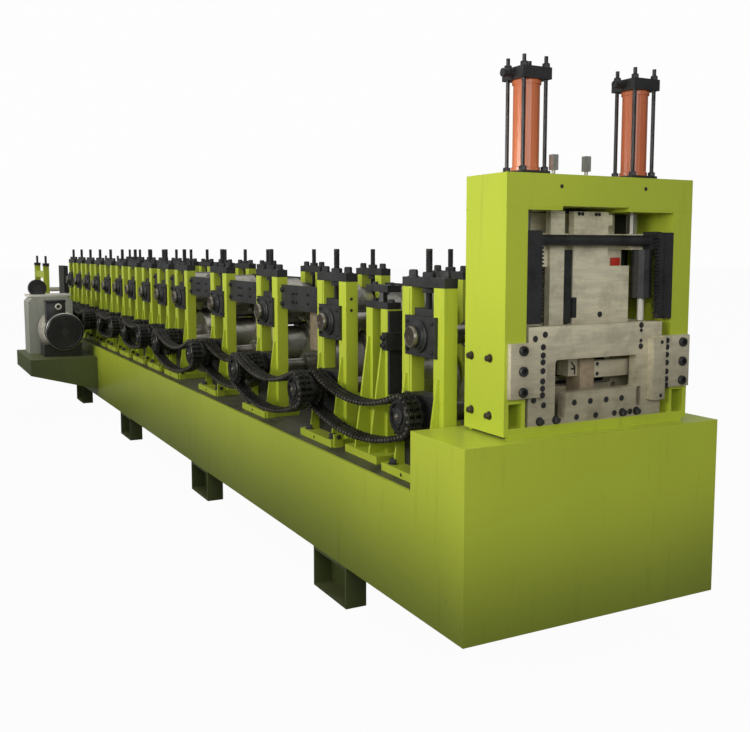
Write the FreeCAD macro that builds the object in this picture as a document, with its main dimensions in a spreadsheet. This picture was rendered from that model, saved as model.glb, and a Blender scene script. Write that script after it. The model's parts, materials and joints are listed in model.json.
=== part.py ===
import FreeCAD, Part
import math
import os

import Sketcher

# A roll forming machine for steel profiles: fourteen roll stands on a long welded bed, a chain drive along
# the near side, a motor on a bracket, and a hydraulic cutting press on a block at the exit end.
# Millimetres. +X is the way the strip runs, +Y is across, away from the drive side, and +Z is up.
# The origin is on the floor, under the middle of the whole machine.

doc = FreeCAD.newDocument("roll_forming_machine")

# Driving dimensions

DIMENSIONS = {
    "entry_run": (1934, "last stand to the entry end of the bed"),
    "bed_width": (1090, "bed and end block across"),
    "bed_height": (427, "bed channel height"),
    "bed_flange": (110, "bed channel flange"),
    "bed_web": (14, "bed channel web and flange thickness"),
    "bed_top_thickness": (20, "worn steel top plate"),
    "bed_end_thickness": (14, "plate that closes the entry end"),
    "cross_member_thickness": (16, "plates between the bed channels"),
    "cross_members": (7, "plates between the bed channels"),
    "first_cross_member": (530, "each end of the bed to the first cross member"),
    "foot_height": (170, "foot stubs under the bed"),
    "foot_length": (315, "foot along the bed"),
    "foot_depth": (90, "foot across the bed"),
    "foot_wall": (12, "foot plate thickness"),
    "first_foot": (843, "exit face to the first foot"),
    "second_foot": (2640, "exit face to the second foot, the rest are spread evenly"),
    "last_foot": (1250, "entry end of the bed to the last foot"),
    "block_length": (336, "end block along the bed"),
    "block_height": (638, "end block height from the bed's underside"),
    "block_wall": (16, "end block plate thickness"),
    "platform_lead": (148, "motor bracket's front ahead of the stand that the motor drives"),
    "platform_length": (919, "motor bracket along the bed"),
    "platform_reach": (538, "motor bracket out from the bed"),
    "platform_drop": (86, "motor bracket top below the bed top"),
    "platform_outer_depth": (132, "bracket depth at its outer end"),
    "platform_inner_depth": (278, "bracket depth at the bed"),
    "platform_wall": (12, "bracket plate thickness"),
    "first_station": (496, "exit face to the first stand"),
    "wide_pitch": (773, "stand spacing at the exit end"),
    "dense_pitch": (452, "stand spacing at the entry end"),
    "near_axis": (167, "near stands from the bed's near face"),
    "far_axis": (745, "far stands from the bed's near face"),
    "base_length": (326, "stand base along the bed"),
    "base_outer": (107, "stand base out from the stand axis"),
    "base_inner": (78, "stand base in from the stand axis"),
    "base_thickness": (30, "stand base plate"),
    "post_width": (70, "stand post along the bed"),
    "post_depth": (54, "stand post across the bed"),
    "post_height": (660, "stand post"),
    "window_width": (154, "gap between the two posts of a stand"),
    "rib_thickness": (10, "stand rib"),
    "rib_depth": (55, "stand rib at its foot"),
    "rib_tip": (8, "stand rib at its tip"),
    "rib_height": (340, "stand rib"),
    "cap_length": (295, "stand cap plate"),
    "cap_thickness": (35, "stand cap plate"),
    "screw_diameter": (26, "adjusting screw"),
    "screw_rise": (102, "adjusting screw above the cap"),
    "screw_gap": (0.3, "clearance of the screw in the cap"),
    "upper_axis": (515, "upper shaft above the bed top"),
    "lower_axis": (231, "lower shaft above the bed top"),
    "block_plate_width": (210, "bearing block flange plate"),
    "block_plate_thickness": (12, "bearing block flange plate"),
    "block_size": (145, "bearing block height"),
    "block_gap": (0.3, "bearing block clearance between the posts"),
    "pad_thickness": (26, "pressure pad between screw and block"),
    "shaft_radius": (35, "roll shaft"),
    "roll_near": (400, "roll near end from the bed's near face"),
    "roll_width": (300, "roll length"),
    "strip_gap": (2, "gap between the rolls"),
    "cover_radius": (54, "bearing cover"),
    "cover_thickness": (18, "bearing cover"),
    "shaft_end_length": (28, "shaft end beyond the bearing cover"),
    "sprocket_teeth": (18, "teeth on each sprocket"),
    "sprocket_tip_radius": (68, "sprocket teeth"),
    "sprocket_root_radius": (58, "sprocket roots"),
    "lane_width": (60, "duplex chain and the wheel under it"),
    "lane_gap": (20, "between the two chain lanes"),
    "lane_place": (36, "bed's near face to the inner chain lane"),
    "hub_radius": (46, "sprocket hub"),
    "chain_gap": (0.3, "chain above the teeth"),
    "chain_thickness": (14, "chain"),
    "upper_sag": (70, "slack of the upper strand between the stands at the exit end"),
    "lower_sag": (62, "slack of the lower strand between the stands at the exit end"),
    "tie_thickness": (12, "plate that ties two stands"),
    "tie_height": (116, "plate that ties two stands"),
    "tie_level": (538, "tie plate underside above the bed top"),
    "tie_count": (5, "gaps between stands that are tied, from the second stand on"),
    "side_base_length": (278, "side roll stand base"),
    "side_base_width": (190, "side roll stand base"),
    "side_base_near": (84, "bed's near face to the side roll stand base"),
    "side_post_width": (56, "side roll stand post"),
    "side_post_depth": (60, "side roll stand post"),
    "side_post_near": (158, "bed's near face to the side roll stand posts"),
    "side_post_height": (563, "side roll stand post"),
    "side_post_gap": (68, "slot between the side roll stand posts"),
    "side_rib_height": (447, "side roll stand rib"),
    "side_rib_reach": (68, "side roll stand rib out from the post"),
    "side_rib_thickness": (12, "side roll stand rib"),
    "side_plate_thickness": (26, "side roll stand top plate"),
    "side_stud_radius": (18, "stud between the side roll stand's plates"),
    "side_stud_length": (40, "stud between the side roll stand's plates"),
    "side_head_length": (96, "side roll holder along the bed"),
    "side_head_depth": (64, "side roll holder across"),
    "side_head_height": (90, "side roll holder"),
    "side_head_rise": (455, "side roll holder above the stand's base"),
    "side_roll_radius": (34, "side roll"),
    "side_roll_length": (70, "side roll"),
    "press_back": (285, "exit face to the back of the press"),
    "press_front": (55, "exit face to the front of the press"),
    "press_near": (184, "bed's near face to the press"),
    "press_width": (801, "press across"),
    "press_column": (84, "press column across"),
    "press_shim": (10, "shim under the press"),
    "press_shim_inset": (20, "press base edge to its shim"),
    "pocket_near": (18, "column's outer face to the pocket at its foot"),
    "pocket_width": (52, "pocket at the column's foot"),
    "pocket_height": (80, "pocket at the column's foot"),
    "pocket_depth": (90, "pocket at the column's foot"),
    "fit_gap": (0.3, "clearance of pieces that seat on each other"),
    "die_thickness": (40, "die plate"),
    "die_near_gap": (12, "near column to the die plate"),
    "die_far_gap": (42, "far column to the die plate"),
    "die_height": (327, "die plate"),
    "die_spacing": (90, "front die plate to rear die plate"),
    "die_window_near": (386, "bed's near face to the die window"),
    "die_window_far_inset": (112, "die plate's far edge to the window"),
    "die_window_rise": (103, "die window above the base plate"),
    "die_window_height": (112, "die window"),
    "die_leg_near": (389, "bed's near face to the die window's leg"),
    "die_leg_width": (46, "die window's leg"),
    "die_leg_rise": (12, "die window's leg above the base plate"),
    "die_corner": (12, "die window corner radius"),
    "die_slot_inset": (101, "die plate's far edge to the middle of the slot"),
    "die_slot_width": (22, "die slot"),
    "die_slot_rise": (34, "die slot above the base plate"),
    "die_slot_height": (70, "die slot"),
    "insert_setback": (110, "exit face to the die insert"),
    "insert_near": (470, "bed's near face to the die insert"),
    "insert_width": (70, "die insert"),
    "insert_rise": (27, "die insert above the base plate"),
    "insert_height": (176, "die insert"),
    "die_bar_thickness": (25, "die bar"),
    "die_bar_gap": (20, "die bar to the window's far side"),
    "die_bar_rise": (127, "die bar above the base plate"),
    "die_bar_height": (68, "die bar"),
    "gib_thickness": (20, "gib bracket"),
    "gib_inset": (11, "column's outer face to the gib bracket"),
    "gib_width": (144, "gib bracket on the drive side"),
    "gib_far_width": (122, "gib bracket on the far side"),
    "gib_rise": (99, "gib bracket above the base plate"),
    "gib_height": (179, "gib bracket"),
    "gib_far_rise": (94, "far gib bracket above the base plate"),
    "gib_far_height": (183, "far gib bracket"),
    "spacer_gap": (1, "far gib bracket to the spacer block"),
    "spacer_width": (56, "spacer block"),
    "spacer_thickness": (30, "spacer block"),
    "spacer_rise": (55, "spacer block above the base plate"),
    "spacer_height": (215, "spacer block"),
    "ram_setback": (138, "exit face to the ram plates"),
    "ram_thickness": (27, "ram plates"),
    "ram_rise": (232, "ram plates' foot above the base plate"),
    "ram_height": (475, "ram plates"),
    "ram_low_height": (289, "low ram plate"),
    "ram_bar_offset": (160, "press middle to the ram bar"),
    "ram_bar_width": (60, "ram bar"),
    "ram_plate_offset": (61, "press middle to the middle ram plate"),
    "ram_plate_width": (152, "middle ram plate"),
    "ram_low_gap": (3, "low ram plate to the punch cylinder"),
    "back_plate_setback": (246, "exit face to the plate behind the ram"),
    "back_plate_thickness": (16, "plate behind the ram"),
    "back_plate_far_gap": (100, "far column to the plate behind the ram"),
    "back_plate_rise": (335, "plate behind the ram above the base plate"),
    "back_plate_height": (369, "plate behind the ram"),
    "crosshead_near_gap": (22, "near column to the crosshead"),
    "crosshead_far_gap": (31, "far column to the crosshead"),
    "crosshead_depth": (80, "crosshead ends along the bed"),
    "crosshead_rise": (577, "crosshead above the base plate"),
    "crosshead_height": (55, "crosshead"),
    "crosshead_end": (105, "thick end of the crosshead"),
    "piston_radius": (20, "piston rod"),
    "rack_thickness": (24, "rack"),
    "rack_width": (78, "rack body"),
    "rack_rise": (337, "rack above the base plate"),
    "rack_height": (300, "rack"),
    "rack_tooth": (16, "rack tooth"),
    "rack_teeth": (16, "teeth on the rack"),
    "rack_crest": (6, "width of a rack tooth at its tip"),
    "rack_flank": (3, "width that each side of a rack tooth adds towards its root"),
    "link_shaft_setback": (100, "exit face to the linking shaft"),
    "link_shaft_rise": (609, "linking shaft above the base plate"),
    "link_shaft_radius": (18.5, "linking shaft"),
    "link_shaft_near_gap": (71, "near column to the linking shaft"),
    "link_shaft_far_gap": (77, "far column to the linking shaft"),
    "link_block_width": (39, "linking shaft's end block"),
    "link_block_depth": (45, "linking shaft's end block along the bed"),
    "link_block_height": (62, "linking shaft's end block"),
    "punch_setback": (118, "exit face to the punch cylinder"),
    "punch_gap": (86, "far column to the punch cylinder's middle"),
    "punch_radius": (37, "punch cylinder"),
    "punch_length": (170, "punch cylinder"),
    "punch_rod_radius": (11, "punch cylinder's rod"),
    "switch_setback": (98, "exit face to the limit switches"),
    "switch_near": (400, "bed's near face to the first limit switch"),
    "switch_pitch": (137, "between the limit switches"),
    "switch_size": (22, "limit switch"),
    "switch_height": (50, "limit switch"),
    "switch_stub": (16, "stub under a limit switch"),
    "switch_stub_radius": (6, "stub under a limit switch"),
    "press_base": (25, "press base plate"),
    "press_column_height": (705, "press column above the base plate"),
    "press_beam_height": (116, "press beam"),
    "press_notch_depth": (14, "notch in the press beam"),
    "press_notch_offset": (177, "press middle to the notch"),
    "press_notch_width": (287, "notch in the press beam"),
    "cylinder_setback": (170, "exit face to the cylinders"),
    "cylinder_inset": (156, "press near side to the near cylinder"),
    "cylinder_far_inset": (173, "press far side to the far cylinder"),
    "cylinder_radius": (44, "cylinder tube"),
    "cylinder_length": (294, "cylinder tube"),
    "cylinder_flange": (116, "cylinder end blocks, square"),
    "cylinder_foot": (14, "cylinder flange on the beam"),
    "cylinder_head": (38, "cylinder head"),
    "tie_rod_radius": (7, "cylinder tie rod"),
    "tie_rod_inset": (14, "tie rod from the head's corner"),
    "tie_rod_rise": (36, "tie rod above the head"),
    "motor_lead": (58, "fan cover ahead of the stand that the motor drives"),
    "motor_out": (242, "motor axis out from the bed's near face"),
    "motor_rise": (218, "motor axis above its bracket"),
    "fan_radius": (158, "motor fan cover"),
    "fan_length": (85, "motor fan cover"),
    "motor_radius": (146, "motor body"),
    "motor_length": (290, "motor body"),
    "motor_foot_length": (220, "motor foot along the bed"),
    "motor_foot_width": (310, "motor foot across"),
    "motor_foot_height": (105, "motor foot"),
    "terminal_length": (150, "terminal box along the bed"),
    "terminal_width": (161, "terminal box across"),
    "terminal_top": (279, "terminal box top above the motor axis"),
    "terminal_low": (60, "terminal box foot above the motor axis"),
    "terminal_out": (148, "terminal box out from the motor axis"),
    "gland_radius": (24, "cable gland"),
    "gland_length": (14, "cable gland"),
    "gland_place": (100, "terminal box's outer face to the cable gland"),
    "reducer_gap": (44, "coupling between motor and reducer"),
    "coupling_radius": (48, "coupling between motor and reducer"),
    "reducer_length": (300, "reducer along the bed"),
    "reducer_width": (370, "reducer across"),
    "reducer_out": (475, "reducer out from the bed's near face"),
    "reducer_height": (495, "reducer"),
    "reducer_chamfer": (40, "bevel on the reducer's upper edges"),
    "filler_radius": (76, "round cap case on the reducer"),
    "filler_length": (70, "round cap case on the reducer"),
    "motor_lane_width": (34, "chain from the reducer"),
    "motor_lane_gap": (4, "outer chain lane to the reducer's chain"),
    "motor_chain_span": (552, "stand that the motor drives to the reducer's shaft"),
    "motor_chain_stand": (9, "stands before the one that the motor drives"),
    "entry_gap": (300, "leveller to the first entry posts"),
    "entry_margin": (97, "entry end of the bed to the last entry posts"),
    "entry_near": (50, "bed's near face to the entry posts' middle"),
    "entry_post": (60, "entry post, square"),
    "entry_post_height": (640, "entry post"),
    "entry_cap": (110, "entry post cap along the bed"),
    "entry_cap_thickness": (30, "entry post cap"),
    "entry_screw_rise": (83, "entry screw above the cap"),
    "entry_rail_rise": (503, "entry rail above the bed top"),
    "entry_rail_height": (70, "entry rail"),
    "table_rise": (350, "entry table above the bed top"),
    "table_thickness": (20, "entry table"),
    "guide_radius": (30, "entry guide roller"),
    "guide_height": (60, "entry guide roller"),
    "guide_spread": (312, "between the guide rollers across the strip"),
    "guide_pitch": (340, "between the guide rollers along the strip"),
    "leveller_gap": (311, "last stand's base to the leveller"),
    "leveller_length": (330, "leveller along the bed"),
    "leveller_height": (650, "leveller side plate"),
    "leveller_thickness": (45, "leveller side plate"),
    "leveller_near": (138, "bed's near face to the leveller"),
    "leveller_roll_radius": (38, "levelling roll"),
    "leveller_roll_pitch": (100, "levelling roll spacing"),
    "leveller_rolls": (3, "levelling rolls under the strip"),
}

sheet = doc.addObject("Spreadsheet::Sheet", "size")
for row, (alias, (value, meaning)) in enumerate(DIMENSIONS.items(), start=1):
    sheet.set(f"A{row}", meaning)
    sheet.set(f"B{row}", str(value))
    sheet.setAlias(f"B{row}", alias)
doc.recompute()


class Size:
    """A length that knows both its value and the sheet formula behind it."""

    def __init__(self, formula, value):
        self.formula = formula
        self.value = value

    def joined(self, other, sign, value):
        return Size(f"({self.formula} {sign} {sized(other).formula})", value)

    def __add__(self, other):
        return self.joined(other, "+", self.value + sized(other).value)

    def __radd__(self, other):
        return sized(other) + self

    def __sub__(self, other):
        return self.joined(other, "-", self.value - sized(other).value)

    def __rsub__(self, other):
        return sized(other) - self

    def __mul__(self, other):
        return self.joined(other, "*", self.value * sized(other).value)

    def __rmul__(self, other):
        return sized(other) * self

    def __truediv__(self, other):
        return self.joined(other, "/", self.value / sized(other).value)

    def __neg__(self):
        return 0 - self


def sized(number):
    """A bare number as a Size, so that it can join a formula."""
    if isinstance(number, Size):
        return number
    return Size(f"{number:.6f}", float(number))


class Sheet:
    """The sheet's cells as Size values, by alias."""

    def __getattr__(self, alias):
        return Size(f"size.{alias}", float(sheet.get(alias)))


s = Sheet()

# Places that many pieces share

WIDE_GAPS = 4
DENSE_GAPS = 9
STATIONS = 1 + WIDE_GAPS + DENSE_GAPS
BED_LENGTH = s.first_station + s.wide_pitch * WIDE_GAPS + s.dense_pitch * DENSE_GAPS + s.entry_run
EXIT = BED_LENGTH / 2
NEAR = (s.platform_reach - s.bed_width) / 2
FAR = NEAR + s.bed_width
BED_UNDER = s.foot_height
BED_TOP = s.foot_height + s.bed_height
LINE_MIDDLE = NEAR + (s.near_axis + s.far_axis) / 2
STAND_REACH = (s.far_axis - s.near_axis) / 2
FIRST_X = EXIT - s.first_station
CAP_UNDER = s.base_thickness + s.post_height
CAP_TOP = CAP_UNDER + s.cap_thickness


def station_x(index):
    """Row place of a stand along the bed, counted from the exit end."""
    wide = min(index, WIDE_GAPS)
    dense = index - wide
    return FIRST_X - s.wide_pitch * wide - s.dense_pitch * dense


DRIVEN_X = station_x(int(s.motor_chain_stand.value))


# Helpers for document objects

NODES = []

# Sides of the outlines that stand for round pieces: thin ones, rolls, and the few large ones

SHAFT_SIDES = 6
ROLL_SIDES = 10
ROUND_SIDES = 24


def node(label, piece):
    """Names a finished sub-part."""
    piece.Label = label
    NODES.append(piece)
    return piece


def bind(piece, **sizes):
    """Ties properties to the sheet."""
    for name, size in sizes.items():
        setattr(piece, name, sized(size).value)
        piece.setExpression(name, sized(size).formula)


def place(piece, x, y, z, turn=None):
    """Puts a piece at a point, turned first where turn is given."""
    if turn is not None:
        piece.Placement.Rotation = turn
    for axis, size in zip("xyz", (x, y, z)):
        piece.setExpression(f"Placement.Base.{axis}", sized(size).formula)


def box(name, x, y, z):
    """A block between a low and a high value on each axis."""
    block = doc.addObject("Part::Box", name)
    bind(block, Length=x[1] - x[0], Width=y[1] - y[0], Height=z[1] - z[0])
    place(block, x[0], y[0], z[0])
    return block


ALONG_X = FreeCAD.Rotation(FreeCAD.Vector(0, 1, 0), 90)
ALONG_Y = FreeCAD.Rotation(FreeCAD.Vector(1, 0, 0), -90)


def rod(name, x, y, z, radius, length, turn=None, sides=12):
    """A many-sided bar that starts at a point and runs up, or along the axis that turn gives."""
    bar = doc.addObject("Part::Prism", name)
    bar.Polygon = sides
    bind(bar, Circumradius=radius, Height=length)
    place(bar, x, y, z, turn)
    return bar


def group(label, pieces):
    """Like pieces that share one node."""
    compound = doc.addObject("Part::Compound", label)
    compound.Links = pieces
    return node(label, compound)


def cut(name, base, tool):
    """Base with tool taken away."""
    result = doc.addObject("Part::Cut", name)
    result.Base = base
    result.Tool = tool
    return result


def plane(body, role):
    """An origin plane or axis of a body."""
    return next(item for item in body.Origin.OriginFeatures if item.Role == role)


def new_body(label, x, y, z):
    """A PartDesign body with its own origin at a point of the machine."""
    body = doc.addObject("PartDesign::Body", label)
    place(body, x, y, z)
    return node(label, body)


def sketch_on(body, role, offset=0):
    """A sketch on one of the body's origin planes, moved along that plane's normal."""
    sketch = body.newObject("Sketcher::SketchObject", f"{body.Label}_outline")
    sketch.AttachmentSupport = (plane(body, role), [""])
    sketch.MapMode = "FlatFace"
    sketch.setExpression("AttachmentOffset.Base.z", sized(offset).formula)
    return sketch


def fix_point(sketch, index, corner, spot):
    """Holds one end of a line at its place from the sketch's origin."""
    for kind, size in zip(("DistanceX", "DistanceY"), spot):
        number = sketch.addConstraint(Sketcher.Constraint(kind, -1, 1, index, corner, sized(size).value))
        sketch.setExpression(f"Constraints[{number}]", sized(size).formula)


def outline(sketch, corners):
    """A closed outline of straight lines through the corners."""
    first = sketch.GeometryCount
    count = len(corners)
    spots = [FreeCAD.Vector(sized(a).value, sized(b).value, 0) for a, b in corners]
    for index in range(count):
        sketch.addGeometry(Part.LineSegment(spots[index], spots[(index + 1) % count]), False)
    for index in range(count):
        following = first + (index + 1) % count
        sketch.addConstraint(Sketcher.Constraint("Coincident", first + index, 2, following, 1))
    for index, corner in enumerate(corners):
        fix_point(sketch, first + index, 1, corner)


def rectangle(sketch, a, b):
    """A rectangle from a low and high value on each sketch axis."""
    outline(sketch, [(a[0], b[0]), (a[1], b[0]), (a[1], b[1]), (a[0], b[1])])


def round_corners(a, b, radius, sides):
    """The corners of a many-sided outline that stands for a repeated round piece."""
    corners = []
    for index in range(sides):
        angle = math.tau * (index + 0.5) / sides
        corners.append((a + radius * math.cos(angle), b + radius * math.sin(angle)))
    return corners


def rounded_corners(corners, radius, steps=3):
    """An outline along the sketch axes with each corner rounded by an arc of a few short sides."""
    points = []
    count = len(corners)
    for index, (a, b) in enumerate(corners):
        before = corners[index - 1]
        after = corners[(index + 1) % count]
        back = (direction(a, before[0]), direction(b, before[1]))
        ahead = (direction(a, after[0]), direction(b, after[1]))
        middle = (a + radius * (back[0] + ahead[0]), b + radius * (back[1] + ahead[1]))
        for step in range(steps + 1):
            turn = math.pi / 2 * step / steps
            push = (
                ahead[0] * math.cos(turn) + back[0] * math.sin(turn),
                ahead[1] * math.cos(turn) + back[1] * math.sin(turn),
            )
            points.append((middle[0] - radius * push[0], middle[1] - radius * push[1]))
    return points


def direction(start, stop):
    """Which way a value goes: -1, 0 or 1."""
    difference = sized(stop).value - sized(start).value
    if abs(difference) < 0.001:
        return 0
    return 1 if difference > 0 else -1


def pad(body, sketch, length, reverse=False, middle=False):
    """Material from a sketch."""
    feature = body.newObject("PartDesign::Pad", f"{body.Label}_pad")
    feature.Profile = sketch
    bind(feature, Length=length)
    feature.Reversed = reverse
    feature.Midplane = middle
    sketch.Visibility = False
    return feature


def pocket(body, sketch, length, reverse=False):
    """Material taken away from a sketch."""
    feature = body.newObject("PartDesign::Pocket", f"{body.Label}_pocket")
    feature.Profile = sketch
    bind(feature, Length=length)
    feature.Reversed = reverse
    return feature


def mirror(body, role):
    """A mirror step for repeat."""
    step = body.newObject("PartDesign::Mirrored", f"{body.Label}_mirror")
    step.MirrorPlane = (plane(body, role), [""])
    return step


def along_stations(body, first=0):
    """A step for repeat that copies a feature from one stand to all that follow it."""
    step = body.newObject("PartDesign::LinearPattern", f"{body.Label}_row")
    step.Direction = (plane(body, "X_Axis"), [""])
    step.Reversed = True
    step.Mode = "Spacing"
    step.Occurrences = STATIONS - first
    step.setExpression("Offset", s.dense_pitch.formula)
    step.Spacings = ([s.wide_pitch.value] * WIDE_GAPS + [s.dense_pitch.value] * DENSE_GAPS)[first:]
    return step


def repeat(body, features, steps):
    """Repeats features by all steps, one after another."""
    whole = body.newObject("PartDesign::MultiTransform", f"{body.Label}_repeat")
    whole.Originals = features
    whole.Transformations = steps
    body.Tip = whole
    return whole


def station_body(label):
    """A body whose origin is on the bed top, on the line's middle, at the first stand."""
    return new_body(label, FIRST_X, LINE_MIDDLE, BED_TOP)


# Bed: two channels with their webs outward, a top plate between them, cross members and feet

BED_START = -EXIT
BED_STOP = EXIT - s.block_length


def bed_channels():
    body = new_body("bed_channels", BED_START + s.bed_end_thickness, NEAR, BED_UNDER)
    sketch = sketch_on(body, "YZ_Plane")
    top = s.bed_height - s.bed_top_thickness
    for web, inner, lip in (
        (0, s.bed_web, s.bed_flange),
        (s.bed_width, s.bed_width - s.bed_web, s.bed_width - s.bed_flange),
    ):
        outline(sketch, [
            (web, 0), (lip, 0), (lip, s.bed_web), (inner, s.bed_web),
            (inner, top - s.bed_web), (lip, top - s.bed_web), (lip, top), (inner, top),
            (inner, s.bed_height), (web, s.bed_height),
        ])
    pad(body, sketch, BED_STOP - BED_START - s.bed_end_thickness)


def bed_plates():
    inner_near = NEAR + s.bed_web
    inner_far = FAR - s.bed_web
    start = BED_START + s.bed_end_thickness
    level = (BED_TOP - s.bed_top_thickness, BED_TOP)
    node("bed_top_plate", box("top", (start, BED_STOP), (inner_near, inner_far), level))
    members = [box("end", (BED_START, start), (NEAR, FAR), (BED_UNDER, BED_TOP))]
    low = BED_UNDER + s.bed_web
    high = BED_TOP - s.bed_top_thickness - s.bed_web
    count = int(s.cross_members.value)
    pitch = (BED_STOP - start - s.first_cross_member * 2) / (count - 1)
    for index in range(count):
        x = BED_STOP - s.first_cross_member - pitch * index
        members.append(box("member", (x - s.cross_member_thickness, x), (inner_near, inner_far), (low, high)))
    group("bed_cross_members", members)


FEET = 5


def bed_feet():
    feet = []
    pitch = (BED_LENGTH - s.second_foot - s.last_foot) / (FEET - 2)
    fronts = [s.first_foot] + [s.second_foot + pitch * index for index in range(FEET - 1)]
    for front in fronts:
        stop = EXIT - front
        start = stop - s.foot_length
        for low, inner in ((NEAR, (-1, 0)), (FAR - s.foot_depth, (0, 1))):
            block = box("foot", (start, stop), (low, low + s.foot_depth), (0, s.foot_height))
            hollow_low = low + s.foot_wall * (1 + inner[0] * 2)
            hollow_high = low + s.foot_depth + s.foot_wall * (inner[1] * 2 - 1)
            hollow = box(
                "foot_hollow",
                (start + s.foot_wall, stop - s.foot_wall),
                (hollow_low, hollow_high),
                (s.foot_wall, s.foot_height - s.foot_wall),
            )
            feet.append(cut("foot_shell", block, hollow))
    group("bed_feet", feet)


def end_block():
    start = EXIT - s.block_length
    top = BED_UNDER + s.block_height
    shell = box("block", (start, EXIT), (NEAR, FAR), (BED_UNDER, top))
    hollow = box(
        "block_hollow",
        (start + s.block_wall, EXIT - s.block_wall),
        (NEAR + s.block_wall, FAR - s.block_wall),
        (BED_UNDER + s.block_wall, top - s.block_wall),
    )
    node("end_block", cut("block_shell", shell, hollow))


def motor_platform():
    start = DRIVEN_X + s.platform_lead - s.platform_length
    body = new_body("motor_platform", start, NEAR, BED_TOP - s.platform_drop)
    sketch = sketch_on(body, "YZ_Plane")
    outline(sketch, [
        (-s.platform_reach, 0), (-s.platform_reach, -s.platform_outer_depth),
        (0, -s.platform_inner_depth), (0, 0),
    ])
    pad(body, sketch, s.platform_length)
    hollow = sketch_on(body, "YZ_Plane", s.platform_wall)
    rise = -s.platform_inner_depth * 2
    outline(hollow, [
        (s.platform_wall - s.platform_reach, -s.platform_wall), (s.platform_wall - s.platform_reach, rise),
        (s.platform_wall, rise), (s.platform_wall, -s.platform_wall),
    ])
    pocket(body, hollow, s.platform_length - s.platform_wall * 2, reverse=True)


# Roll stands

def stand_frames():
    body = station_body("stand_bases")
    sketch = sketch_on(body, "XY_Plane")
    rectangle(
        sketch,
        (-s.base_length / 2, s.base_length / 2),
        (-STAND_REACH - s.base_outer, -STAND_REACH + s.base_inner),
    )
    plate = pad(body, sketch, s.base_thickness)
    repeat(body, [plate], [mirror(body, "XZ_Plane"), along_stations(body)])

    body = station_body("stand_posts")
    sketch = sketch_on(body, "XY_Plane", s.base_thickness)
    half = s.window_width / 2
    rectangle(
        sketch,
        (half, half + s.post_width),
        (-STAND_REACH - s.post_depth / 2, -STAND_REACH + s.post_depth / 2),
    )
    post = pad(body, sketch, s.post_height)
    repeat(body, [post], [mirror(body, "YZ_Plane"), mirror(body, "XZ_Plane"), along_stations(body)])

    body = station_body("stand_ribs")
    middle = (s.window_width + s.post_width) / 2
    sketch = sketch_on(body, "YZ_Plane", middle)
    face = -STAND_REACH - s.post_depth / 2
    foot = s.base_thickness
    outline(sketch, [
        (face, foot), (face, foot + s.rib_height),
        (face - s.rib_tip, foot + s.rib_height), (face - s.rib_depth, foot),
    ])
    rib = pad(body, sketch, s.rib_thickness, middle=True)
    repeat(body, [rib], [mirror(body, "YZ_Plane"), mirror(body, "XZ_Plane"), along_stations(body)])

    body = station_body("stand_caps")
    sketch = sketch_on(body, "XY_Plane", CAP_UNDER)
    rectangle(
        sketch,
        (-s.cap_length / 2, s.cap_length / 2),
        (-STAND_REACH - s.post_depth / 2, -STAND_REACH + s.post_depth / 2),
    )
    outline(sketch, round_corners(0, -STAND_REACH, s.screw_diameter / 2 + s.screw_gap, SHAFT_SIDES))
    cap = pad(body, sketch, s.cap_thickness)
    repeat(body, [cap], [mirror(body, "XZ_Plane"), along_stations(body)])

    body = station_body("adjusting_screws")
    start = s.upper_axis + s.block_size / 2 + s.pad_thickness
    sketch = sketch_on(body, "XY_Plane", start)
    outline(sketch, round_corners(0, -STAND_REACH, s.screw_diameter / 2, SHAFT_SIDES))
    screw = pad(body, sketch, CAP_TOP + s.screw_rise - start)
    repeat(body, [screw], [mirror(body, "XZ_Plane"), along_stations(body)])


def bearing_blocks():
    face = -STAND_REACH - s.post_depth / 2
    slide = s.window_width / 2 - s.block_gap
    wide = s.block_plate_width / 2
    profile = [
        (-wide, face - s.block_plate_thickness), (wide, face - s.block_plate_thickness),
        (wide, face), (slide, face), (slide, face + s.post_depth),
        (-slide, face + s.post_depth), (-slide, face), (-wide, face),
    ]

    body = station_body("upper_bearing_blocks")
    sketch = sketch_on(body, "XY_Plane", s.upper_axis - s.block_size / 2)
    outline(sketch, profile)
    block = pad(body, sketch, s.block_size)
    repeat(body, [block], [mirror(body, "XZ_Plane"), along_stations(body)])

    body = station_body("pressure_pads")
    sketch = sketch_on(body, "XY_Plane", s.upper_axis + s.block_size / 2)
    rectangle(sketch, (-slide, slide), (face + s.block_plate_thickness, face + s.post_depth))
    block = pad(body, sketch, s.pad_thickness)
    repeat(body, [block], [mirror(body, "XZ_Plane"), along_stations(body)])

    body = station_body("lower_bearing_blocks")
    sketch = sketch_on(body, "XY_Plane", s.base_thickness)
    outline(sketch, profile)
    block = pad(body, sketch, s.lower_axis + s.block_size / 2 - s.base_thickness)
    repeat(body, [block], [mirror(body, "XZ_Plane"), along_stations(body)])


def roll_shafts():
    reach = STAND_REACH - s.post_depth / 2
    roll_radius = (s.upper_axis - s.lower_axis - s.strip_gap) / 2
    roll_start = NEAR + s.roll_near - LINE_MIDDLE
    for label, level in (("upper_rolls", s.upper_axis), ("lower_rolls", s.lower_axis)):
        body = station_body(label)
        sketch = sketch_on(body, "XZ_Plane")
        outline(sketch, round_corners(0, level, s.shaft_radius, SHAFT_SIDES))
        shaft = pad(body, sketch, reach * 2, middle=True)
        sketch = sketch_on(body, "XZ_Plane", -roll_start)
        outline(sketch, round_corners(0, level, roll_radius, ROLL_SIDES))
        drum = pad(body, sketch, s.roll_width, reverse=True)
        repeat(body, [shaft, drum], [along_stations(body)])


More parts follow.
